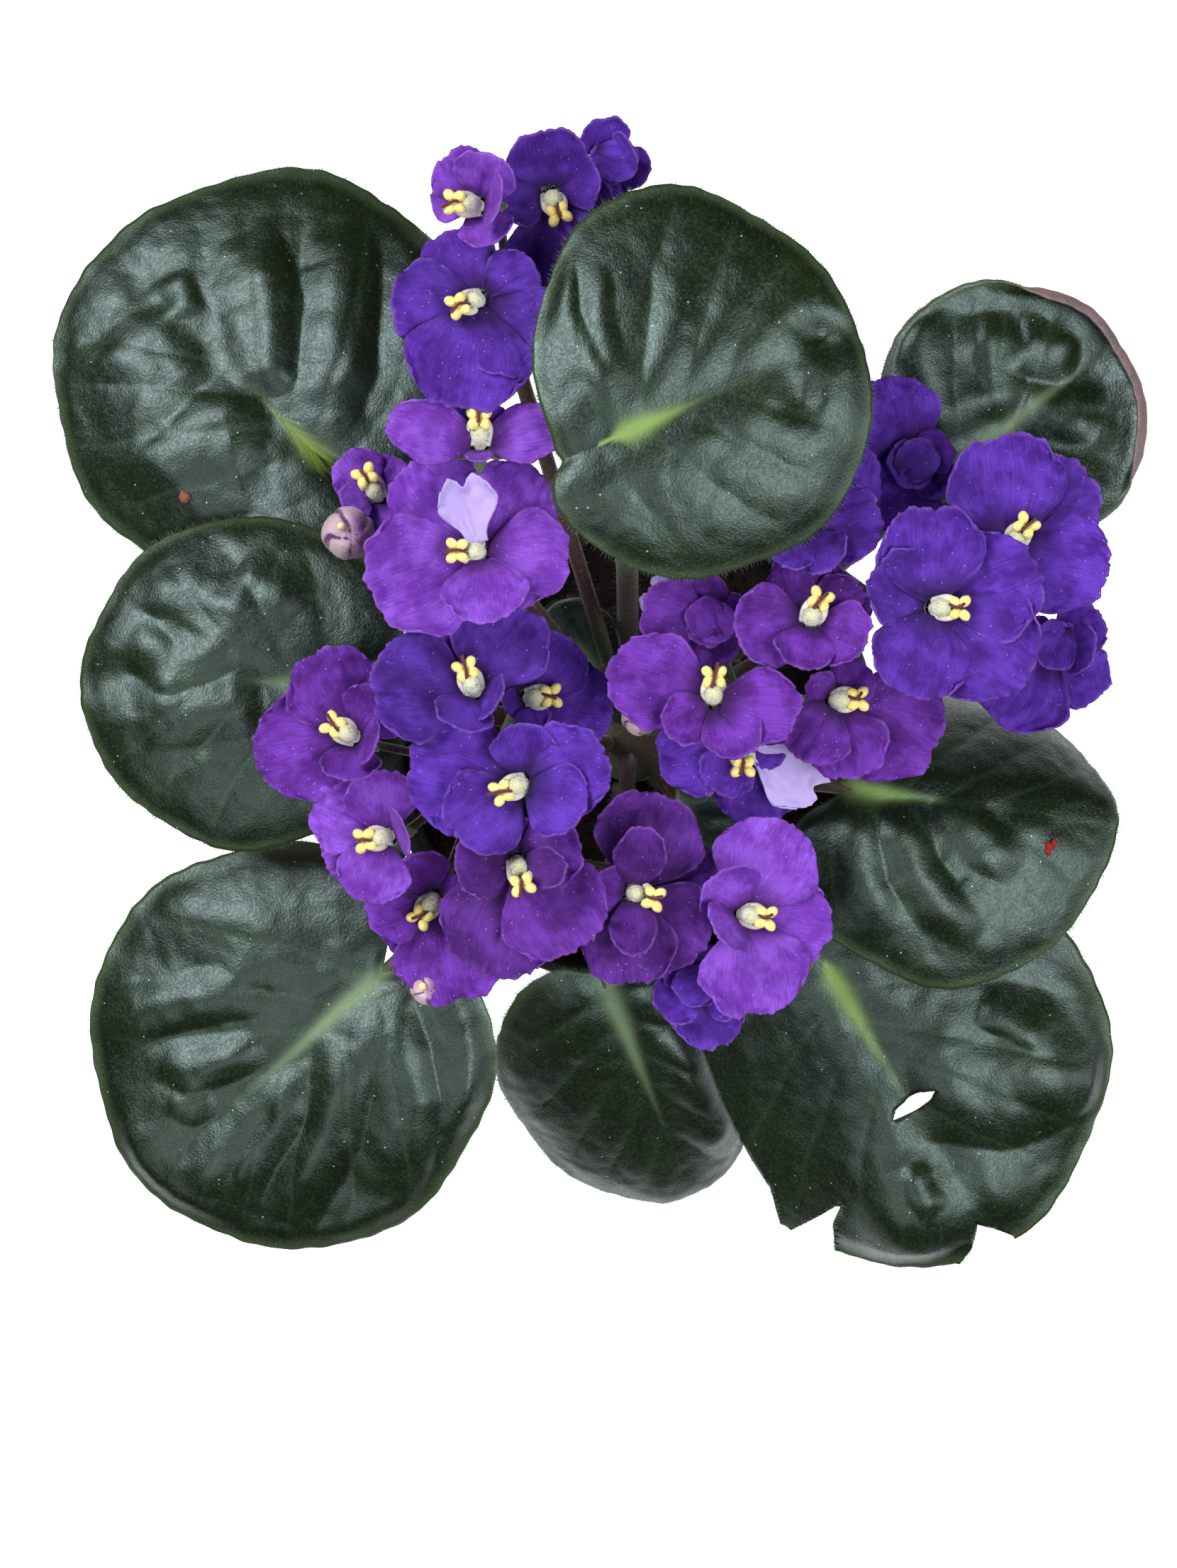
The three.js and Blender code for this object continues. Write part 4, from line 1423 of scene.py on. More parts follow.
    def build(self, maker: Maker, hairs: Hairs, nodes: Sequence[str]) -> None:
        """Builds the blade and its petiole.

        Args:
            maker: takes the finished pieces.
            hairs: the coat that the leaf's hairs are added to.
            nodes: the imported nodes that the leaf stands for.
        """
        blade = fresh("plan", "relief")
        self.shape(blade, hairs)
        midrib = rgb(0.130 + 0.08 * self.yellow, 0.270, 0.085 - 0.06 * self.yellow)
        tinged = LeafSkin(midrib=midrib, name=f"leaf_skin_{round(10 * self.yellow)}")
        skin = tinged if self.yellow else LeafSkin()
        maker.piece(f"{self.name}_blade", blade, skin, nodes)
        stalk = bmesh.new()
        frames = self.petiole()
        tube(stalk, frames, self.stalk_radius, sides=14)
        maker.piece(f"{self.name}_petiole", stalk, StalkSkin(), nodes)
        hairs.along(frames[:30], self.stalk_radius, count=420, length=1.7)


def inside(corners: Sequence[Vector], spot: Vector) -> bool:
    """Whether a point lies inside an outline, both seen from above.

    Args:
        corners: the outline's corners.
        spot: the point.

    Returns:
        True inside it.
    """
    odd = False
    for a, b in zip(corners, [*corners[1:], corners[0]]):
        if (a.y > spot.y) != (b.y > spot.y):
            if spot.x < a.x + (b.x - a.x) * (spot.y - a.y) / (b.y - a.y):
                odd = not odd
    return odd


def nearest_on(corners: Sequence[Vector], spot: Vector) -> Vector:
    """The nearest point of an outline, seen from above.

    Args:
        corners: the outline's corners, at height 0.
        spot: the point that it is near to.

    Returns:
        The point on the outline.
    """
    flat = Vector((spot.x, spot.y, 0))
    best = corners[0]
    for a, b in zip(corners, [*corners[1:], corners[0]]):
        edge = b - a
        share = min(1.0, max(0.0, (flat - a).dot(edge) / edge.length_squared))
        near = a + edge * share
        if (near - flat).length < (best - flat).length:
            best = near
    return best


LEAF_TEARS = (
    ((49.4, -73.1), (49.8, -71), (52.5, -68.3), (54.6, -67.2), (57.2, -67), (56.4, -69),
     (54, -71), (51.2, -72.4)),
    ((40.8, -89.3), (37.5, -92), (30, -97.5), (27, -112), (36, -112), (40.3, -103), (39.3, -94)),
    ((65.9, -93.2), (69, -94), (73.5, -96), (76, -104), (62, -104), (65.4, -98.4)),
    ((12.4, -57), (13.7, -60.1), (16.4, -67.4), (20, -75.6), (23.7, -82), (27.3, -87.4),
     (30, -97.5), (20, -102), (4, -82), (4, -60)),
)

LEAVES = (
    Leaf("leaf_1", (-58, 51.5, 116), 135, 9, 0, 63, 17, Half(37, 4), Half(45, 4), (5, 4), -1.5,
         yellow=0.8, pale_run=0.25, sinus=0.08, quilt=0.22, swells=(
             Rib(((-57, 97), (-54, 90), (-53.8, 83), (-54.3, 76), (-54.5, 69), (-57.5, 61)),
                 2.8, 8, 4.2),
             Rib(((-74, 96), (-70.5, 89), (-68, 82), (-68.5, 75), (-69, 68), (-69, 64)), 2.8, 8, 4),
             Rib(((-88, 88), (-86, 83), (-84.5, 79)), 1.3, 4, 2.6),
             Rib(((-99, 78), (-95, 71), (-91, 65), (-86, 60)), 2.4, 8, 12),
             Rib(((-96, 46), (-90, 52), (-83, 56.5), (-76, 59.5), (-69, 60)), 3.0, 6, 12),
             Swell(-38, 80, 9, 22, 0, 3.0), Swell(-66, 36, 10, 8, 0, 2.5))),
    Leaf("leaf_2", (-59.5, 9.5, 126), 178, 5, 0, 44.5, 20, Half(31, 2), Half(31, 2), (4, 3), -2,
         quilt=0.3, pale_run=0.25, swells=(
             Rib(((-92, 29), (-83, 27), (-75, 22), (-70, 17)), 1.6, 5, 4),
             Rib(((-74, 30), (-68, 27), (-62, 22)), 1.5, 4, 5),
             Rib(((-94, 18), (-86, 12), (-80, 14), (-73, 18)), 1.7, 4, 3),
             Rib(((-93, 6), (-84, 8), (-76, 9), (-69, 10)), 2.0, 4, 7))),
    Leaf("leaf_3", (-47, -44.5, 111), 222, 7, 0, 64.5, 14, Half(38.5, 4), Half(41.5, 4), (6, 4), -1.5,
         quilt=0.22, swells=(
             Rib(((-92, -38), (-84, -34.5), (-76, -35), (-69, -39), (-60, -43)), 1.9, 6, 6),
             Rib(((-101, -58), (-94, -52.5), (-86, -50), (-77, -48), (-70, -47.5)), 2.6, 5, 4.2),
             Rib(((-90, -62), (-84, -64.5), (-77, -62), (-70, -59)), 1.8, 4, 2.6),
             Rib(((-89, -69), (-84, -71), (-79, -69)), 1.0, 3, 2.4),
             Rib(((-65.5, -63), (-74, -72), (-80, -82), (-82, -88)), 1.4, 4, 2.6),
             Rib(((-64, -64), (-67.5, -73), (-72.5, -80), (-77, -89)), 1.9, 2.5, 3.4),
             Rib(((-54, -57), (-55.5, -68), (-57.5, -76), (-62, -84), (-67, -93)), 3.2, 5, 4),
             Rib(((-47.5, -50), (-44, -60), (-42, -69), (-42.5, -77), (-46, -89)), 3.6, 9, 3.8),
             Swell(-28, -70, 10, 18, 0, 4.0), Swell(-50, -100, 18, 8, 25, 3.0),
             Swell(-92, -86, 16, 14, 0, 3.0))),
    Leaf("leaf_4", (-5.5, -46.5, 103), 292, 31, 0, 62, 6, Half(23, 14), Half(28, 14), (4, 5), -2,
         quilt=0.5, swells=(
             Rib(((8, -56), (12, -65), (16, -74), (20, -83)), 3.6, 6, 3),)),
    Leaf("leaf_5", (37.5, -45, 114), 301, 7, 0, 64, 17, Half(43, 0), Half(40, 27), (5, 3), -1,
         yellow=0.6, pale_run=0.4, sinus=0.05, cleft=0.3, quilt=0.22, tears=LEAF_TEARS, swells=(
             Rib(((52, -67), (60, -65.5), (70, -67.5), (78, -64), (86, -57)), 3.4, 12, 7.5),
             Rib(((65, -52), (71, -54), (78, -58)), 1.6, 5, 1.8),
             Rib(((44, -97), (54, -94), (66, -88), (76, -83)), 2.2, 10, 5),
             Rib(((53, -81), (54, -86), (58, -90)), 1.3, 3, 2),
             Swell(49, -91, 9, 14, 30, 5.5), Swell(86, -66, 9, 16, 60, 2.5))),
    Leaf("leaf_6", (39.5, -10, 126), 353, 4, -4, 52, 12, Half(29.5, 41), Half(34, 0), (4, 4), -2,
         yellow=0.4, pale_run=0.35, quilt=0.22, swells=(
             Rib(((40.5, -12), (40.5, -20), (42.5, -29), (48, -37)), 2.0, 5, 3),
             Rib(((49, -12), (49.5, -19), (52, -26), (57, -32), (65, -36.5)), 2.5, 5, 3.4),
             Rib(((60, -11), (61.5, -16), (65, -21), (72, -25)), 1.9, 4, 3),
             Swell(74, -17, 6, 4, -20, 1.0))),
    Leaf("leaf_7", (60, 50.5, 116), 37, 3, 0, 38.5, 12, Half(27, -6), Half(25, -6), (1, 1), 4,
         quilt=0.35, pale_run=0.9, rolled=(-62, 48), swells=(
             Rib(((56, 80), (54.5, 70), (56.5, 62), (60, 55)), 2.8, 5, 6),
             Rib(((66, 79), (67, 72), (68, 65), (67, 59)), 2.6, 4, 4),
             Rib(((71, 74), (77, 72.5), (84, 71)), 2.4, 4, 4),
             Rib(((72, 62), (79, 61.5), (88, 60)), 2.6, 5, 4))),
    Leaf("leaf_8", (-2, 51.5, 166), 24, 0, 0, 44.5, 12, Half(39, 4), Half(30, 7), (3, 4), -2,
         tier=HIGH_TIER, yellow=0.55, pale_run=0.32, far_lobe=17, sinus=0.05, cleft=0.12,
         quilt=0.30, swells=(
             Rib(((-13, 84), (-12, 72), (-8, 63), (-4, 57)), 0.9, 3, 1.5),
             Rib(((-7, 82), (-6, 70), (-3, 60)), 0.8, 3, 1.5),
             Rib(((5, 61), (6, 70), (8, 79)), 0.8, 4, 3),
             Swell(32, 69, 3.6, 3.6, 0, -2.2), Swell(28.5, 58.5, 3.6, 4.4, 0, -2.2))),
)

YOUNG_VEINS = (-4.0, 0.0, 4.0, 9.0, 15.0)
YOUNG_PUFFS = (0.4, 0.5, 0.5, 0.4)


def young(name: str, joint: Triple, heading: float, dip: float, length: float,
          lobe: float, wide: float, fold: float, arch: Pair) -> Leaf:
    """A young leaf at the heart of the rosette."""
    half = Half(wide, fold, YOUNG_VEINS, YOUNG_PUFFS)
    return Leaf(name, joint, heading, dip, 0, length, lobe, half, half, arch, 1,
                tier=CROWN_TOP - 3, start_radius=5, petiole_radius=1.2, cell=0.6,
                fuzz=260, fringe=260)


YOUNG_LEAVES = (
    young("young_leaf_1", (8, -12, 110), 298, -8, 20, 4, 11, -8, (2, 1)),
    young("young_leaf_2", (-8, 12, 104), 112, -14, 15, 3, 8, -10, (1, 1)),
    young("young_leaf_3", (13, 6, 103), 20, -16, 13, 3, 7, -10, (1, 1)),
)


# Blooms


class HeartPart(Enum):
    """The parts of a bloom's heart, as the first number of their tone."""

    SEPAL = 0
    OVARY = 1
    STYLE = 2
    FILAMENT = 3


def tell(bm: BMesh, verts: Sequence[BMVert], part: HeartPart) -> None:
    """Marks vertices as one part of a heart."""
    tone = bm.verts.layers.float_vector["tone"]
    for vert in verts:
        vert[tone] = Vector((part.value, 0, 0))


CALYX_CUP = ((0, -CALYX_DEPTH), (1.0, -2.5), (1.7, -1.8), (2.1, -0.9), (1.9, 0))
OVARY_SIDE = (
    (1.2, -0.4), (1.35, 0.8), (1.5, 1.9), (1.6, 2.8), (1.5, 3.5), (1.1, 4.1), (0.55, 4.4), (0, 4.5))
CLOSED_PETALS = (40, 160, 285)

# Scale and level in the noise field of a petal's coarse rags, its fine waves and its nicks
PETAL_NOISES = ((2.2, 0), (6.5, 5), (15, 9))


class Tone(Enum):
    """The three violets of the blooms, by their slot in the record."""

    BLUE = "petal_blue_violet"
    VIOLET = "petal_violet"
    LIGHT = "petal_light_violet"

    def finish(self) -> PetalVelvet:
        """The petals' finish."""
        streak_and_shade, full, light = PETAL_COLOURS[self]
        return PetalVelvet(streak_and_shade, full, light, name=self.value)


# Per tone: dark violet for streaks and painted shade, full violet, light violet
PETAL_COLOURS = {
    Tone.BLUE: (rgb(0.009, 0.001, 0.024), rgb(0.060, 0.010, 0.225), rgb(0.120, 0.034, 0.430)),
    Tone.VIOLET: (rgb(0.014, 0.001, 0.020), rgb(0.084, 0.010, 0.205), rgb(0.175, 0.036, 0.420)),
    Tone.LIGHT: (rgb(0.035, 0.002, 0.062), rgb(0.150, 0.028, 0.365), rgb(0.280, 0.085, 0.640)),
}


@dataclass
class Bloom:
    """One bloom.

    Attributes:
        number: its number in the record.
        at: its throat, seen from above.
        faces: compass direction that the throat leans to, and by how many degrees.
        petals: direction of each petal's tip, how far out it is, and how far it is raised.
        extras: small inner petals, or single long ones.
        open: whether the anthers show.
        inner_shade: how strongly painted shade darkens the petals' inner part.
        pale: share of white in the extras, which are then cleft at the tip.
        lift: height of the extras over the throat.
        fullness: half a petal's width for each millimetre of its length.
        root, root_width: how far from the throat a petal starts, and half its width there.
        neighbour: petals closer than this many degrees overlap.
        down: short hairs on the ovary.
    """

    number: int
    at: Pair
    faces: Pair
    tone: Tone
    spray: int
    petals: tuple[Triple, ...]
    extras: tuple[Triple, ...] = ()
    open: bool = True
    inner_shade: float = 0.0
    pale: float = 0.0
    lift: float = 2.7
    fullness: float = 0.57
    root: float = 1.5
    root_width: float = 1.9
    cell: float = 0.55
    thickness: float = 0.42
    neighbour: float = 105.0
    down: int = 70

    def __post_init__(self) -> None:
        """Finds the throat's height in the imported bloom, whose calyx ends in one point."""
        self.label = f"{self.number:02d}"
        away = compass(self.faces[0], -CALYX_DEPTH * math.sin(math.radians(self.faces[1] / 2)))
        foot = Vector((*self.at, 0)) + away
        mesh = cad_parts[f"bloom_{self.label}"].data
        near = [v.co.z / METRES for v in mesh.vertices
                if math.hypot(v.co.x / METRES - foot.x, v.co.y / METRES - foot.y) < 0.3]
        drop = CALYX_DEPTH * math.cos(math.radians(self.faces[1] / 2))
        self.throat = Vector((*self.at, min(near) + drop))
        self.draw = random.Random(self.number)

    def layers(self) -> list[int]:
        """Layer of each petal: over its neighbours that rise less."""
        order = sorted(range(len(self.petals)), key=lambda i: (self.petals[i][2], i))
        layers = [0] * len(self.petals)
        for rank, i in enumerate(order):
            for j in order[:rank]:
                apart = abs((self.petals[i][0] - self.petals[j][0] + 540) % 360 - 180)
                if apart < self.neighbour:
                    layers[i] = max(layers[i], layers[j] + 1)
        return layers

    def petal(self, bm: BMesh, spec: Triple, fullness: float, layer: float,
              pale: float, root: float) -> None:
        """Draws a flat grid out to one ruffled petal.

        Args:
            bm: the corolla.
            spec: direction, reach and rise.
            fullness: half its width for each millimetre of length.
            layer: its height over the throat.
            pale: how white it is.
            root: how far out from the throat it starts.
        """
        plan = bm.verts.layers.float_vector["plan"]
        tone = bm.verts.layers.float_vector["tone"]
        direction, reach, rise = spec
        width = fullness * math.hypot(reach, rise)
        rows = max(10, round((math.hypot(reach, rise) - root) / self.cell))
        columns = max(10, round(2 * width / self.cell))
        grid = bmesh.ops.create_grid(bm, x_segments=columns, y_segments=rows, size=1)["verts"]
        turn = Matrix.Rotation(math.radians(direction), 4, "Z")
        place = Matrix.Translation(self.throat) @ turn
        seed = Vector((self.number * 3.7, direction * 0.31, 0))
        phase = self.draw.uniform(0, math.tau)
        dish = self.draw.uniform(-0.10, 0.16)
        # Painted shade: how dark this petal is, the bloom's share plus a random one
        petal_shade = min(1.0, max(0.0, self.inner_shade + self.draw.uniform(-0.3, 0.5)))
        for vert in grid:
            v, u = -vert.co.x, (vert.co.y + 1) / 2
            edge = max(u, abs(v) * smooth(0.0, 0.35, u)) ** 3
            corner = (u * abs(v)) ** 5
            rag, fine, nick = (noise.noise(Vector((v * scale, u * scale, level)) + seed)
                               for scale, level in PETAL_NOISES)
            tip = reach * (1 - 0.20 * abs(v) ** 2.4)
            tip *= 1 + 0.05 * rag * u + 0.035 * fine * u ** 4 + 0.022 * nick * u ** 10
            if pale:
                tip *= 1 - 0.16 * bell(v, 0.2) * u ** 4
            out = root + (tip - root) * u
            swell = smooth(0.1, 0.8, u) if pale else math.sin(math.pi / 2 * min(1, u / 0.66))
            half = (self.root_width + (width - self.root_width) * swell) * (1 - 0.12 * u ** 4)
            half *= 1 + (0.05 * rag + 0.03 * fine + 0.02 * nick * v ** 8) * abs(v)
            half *= 1 - 0.14 * corner
            out -= (tip - root) * 0.11 * corner
            ruffle = width * edge * (0.075 * math.sin(4.4 * v + phase) + 0.10 * fine + 0.05 * nick)
            body = (0.75 * rag + 0.22 * fine) * math.sin(math.pi * min(1.0, u * 0.75))
            pleats = 0.16 * math.cos(11 * v + phase) * smooth(0.75, 0.1, u) * u ** 0.5
            crease = -0.4 * bell(v, 0.13) * math.sin(math.pi * min(1, u * 1.05))
            bowl = dish * width * (u * u + v * v * 0.8)
            z = layer + rise * u ** 1.3 + ruffle + body + pleats + crease + bowl
            vert.co = place @ Vector((out, v * half, z))
            rim = max(smooth(0.96, 1.0, u), smooth(0.95, 1.0, abs(v)) * smooth(0.15, 0.4, u))
            vert[plan] = Vector((u, v * width / 8, rim * (0.6 + 0.8 * fine)))
            # Painted shade: darker towards the throat and where the ruffles sag; pale petals get none
            shade = min(1.0, petal_shade * (1.15 - 0.6 * u) + 0.25 * max(0.0, -rag)) if pale == 0 else 0.0
            vert[tone] = Vector((shade, pale, 0))

        def mark(vert: BMVert) -> None:
            """Tells a vertex of the petal's back."""
            vert[tone] = Vector((vert[tone].x, vert[tone].y, 1))

        thicken(bm, grid, lambda vert: self.thickness * (1 - 0.4 * vert[plan].z), mark)

    def corolla(self, maker: Maker, nodes: Sequence[str]) -> None:
        """Builds the petals, and over a hidden heart three small ones that close it.

        Args:
            maker: takes the finished piece.
            nodes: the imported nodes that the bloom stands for.
        """
        bm = fresh("plan", "tone")
        for spec, layer in zip(self.petals, self.layers()):
            self.petal(bm, spec, self.fullness, LAYER_STEP * (layer - 0.5), 0.0, self.root)
        for spec in self.extras:
            self.petal(bm, spec, 0.42 if self.pale else 0.36, self.lift, self.pale, self.root)
        if not self.open:
            for i, aside in enumerate(CLOSED_PETALS):
                spec = (self.faces[0] + aside, 4.6, 1.2)
                self.petal(bm, spec, 0.85, LAYER_STEP * (2.0 + 0.8 * i), 0.0, -3.4)
        maker.piece(f"corolla_{self.label}", bm, self.tone.finish(), nodes)

    def heart(self, maker: Maker, hairs: Hairs, nodes: Sequence[str]) -> None:
        """Builds the calyx and, in an open bloom, the ovary, the style and the filaments.

        Args:
            maker: takes the finished piece.
            hairs: the coat that the ovary's down is added to.
            nodes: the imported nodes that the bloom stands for.
        """
        bm = fresh("tone")
        tone = bm.verts.layers.float_vector["tone"]
        leaned = lean(self.faces[0], self.faces[1] / 2)
        turn = leaned @ Quaternion(UP, math.radians(self.faces[0]))
        place = placed(self.throat, turn)
        tell(bm, lathe(bm, CALYX_CUP, 16, place), HeartPart.SEPAL)
        for i in range(5):
            self.sepal(bm, place @ Matrix.Rotation(math.radians(72 * i + 36), 4, "Z"))
        if self.open:
            inverse = place.inverted()
            for vert in lathe(bm, OVARY_SIDE, 20, place):
                up = (inverse @ vert.co).z
                vert.co += place.to_quaternion() @ Vector((0.12 * up, 0, 0))
                vert[tone] = Vector((HeartPart.OVARY.value, smooth(1.5, 4.6, up), 0))
            self.stamen_stalks(bm, place)
        for _ in range(self.down if self.open else 0):
            up = hairs.draw.uniform(1.5, 4.3)
            around = compass(hairs.draw.uniform(0, 360))
            spot = around * (1.55 if up < 3.5 else 1.55 - 1.3 * (up - 3.5))
            out = place.to_quaternion() @ (around + UP * 0.6)
            hairs.add(place @ (spot + UP * up), out, length=0.9, radius=0.04)
        maker.piece(f"heart_{self.label}", bm, HeartSkin(), nodes)

    def sepal(self, bm: BMesh, place: Matrix) -> None:
        """Draws one pointed sepal out of a small grid, under the petals.

        Args:
            bm: the heart's mesh.
            place: the throat's frame, turned to the sepal.
        """
        grid = bmesh.ops.create_grid(bm, x_segments=6, y_segments=10, size=1)["verts"]
        for vert in grid:
            v, u = vert.co.x, (vert.co.y + 1) / 2
            half = 1.15 * math.sin(math.pi * min(0.96, 0.25 + u * 0.75))
            vert.co = place @ Vector((1.2 + 3.6 * u, v * half, -1.9 - 0.5 * u + 0.25 * v * v))
        tell(bm, grid, HeartPart.SEPAL)
        thicken(bm, grid, lambda vert: 0.35, lambda vert: None)

    def stamen_stalks(self, bm: BMesh, place: Matrix) -> None:
        """Adds the two filaments and the style that leans out between the anthers.

        Args:
            bm: the heart's mesh.
            place: the throat's frame.
        """
        for side in (1, -1):
            foot = place @ Vector((-0.6, 1.2 * side, 0.3))
            bend = place @ Vector((1.5, 1.75 * side, 2.5))
            frames = Curve([foot, bend, self.anther_spot(side) - UP * 0.3]).frames(steps=10)
            filament = tube(bm, frames, lambda share: 0.72 - 0.12 * share, sides=10)
            tell(bm, filament, HeartPart.FILAMENT)
        mid = self.anther_height()
        out = compass(self.faces[0])
        aside = compass(self.faces[0] + 90)
        start = place @ Vector((1.4, 0.5, 4.2))
        far = self.throat + out * self.draw.uniform(4.6, 6.6) + aside * self.draw.uniform(-1.2, 1.2)
        far.z = mid + 1.0
        near = self.throat + out * 3.6
        near.z = mid + 1.15
        frames = Curve([start, near, far]).frames(steps=14)
        style = tube(bm, frames, lambda share: 0.3, sides=8)
        tell(bm, style, HeartPart.STYLE)

    def anther_height(self) -> float:
        """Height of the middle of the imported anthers."""
        low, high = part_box(f"stamens_{self.label}")
        return (low.z + high.z) / 2 / METRES

    def anther_spot(self, side: int) -> Vector:
        """Middle of the anther on one side, 1 or -1, of the throat."""
        spot = self.throat + compass(self.faces[0], 4.0) + compass(self.faces[0] + 90, 0.92 * side)
        spot.z = self.anther_height()
        return spot

    def anthers(self, maker: Maker) -> None:
        """Builds two anthers of two lobes each, joined at the tips.

        Args:
            maker: takes the finished piece.
        """
        bm = bmesh.new()
        for side in (1, -1):
            turn = Matrix.Rotation(math.radians(self.faces[0] + 6 * side), 4, "Z")
            place = Matrix.Translation(self.anther_spot(side)) @ turn
            for lobe in (1, -1):
                size = Matrix.Diagonal((1.2, 0.95, 1.05, 1))
                tilt = Matrix.Rotation(math.radians(38 * lobe * side), 4, "Z")
                spot = Matrix.Translation((0.86 * lobe, 0.20 * side, 0.05 * lobe))
                for vert in ball(bm, 3, place @ spot @ tilt @ size):
                    out = (vert.co - place.translation).normalized()
                    vert.co += out * 0.07 * noise.noise(vert.co * 1.6)
        nodes = [f"stamens_{self.label}"]
        maker.piece(f"anthers_{self.label}", bm, PollenCoat(), nodes)

    def build(self, maker: Maker, hairs: Hairs) -> None:
        """Builds the whole bloom.

        Args:
            maker: takes the finished pieces.
            hairs: the coat that the bloom's hairs are added to.
        """
        nodes = [f"bloom_{self.label}"]
        self.corolla(maker, nodes)
        self.heart(maker, hairs, nodes)
        if self.open:
            self.anthers(maker)

    def base(self) -> tuple[Vector, Vector]:
        """Where the short stalk ends under the calyx, and the bloom's axis."""
        axis = lean(self.faces[0], self.faces[1] / 2) @ UP
        return self.throat - axis * (CALYX_DEPTH + FIT_GAP), axis


B, V, L = Tone.BLUE, Tone.VIOLET, Tone.LIGHT


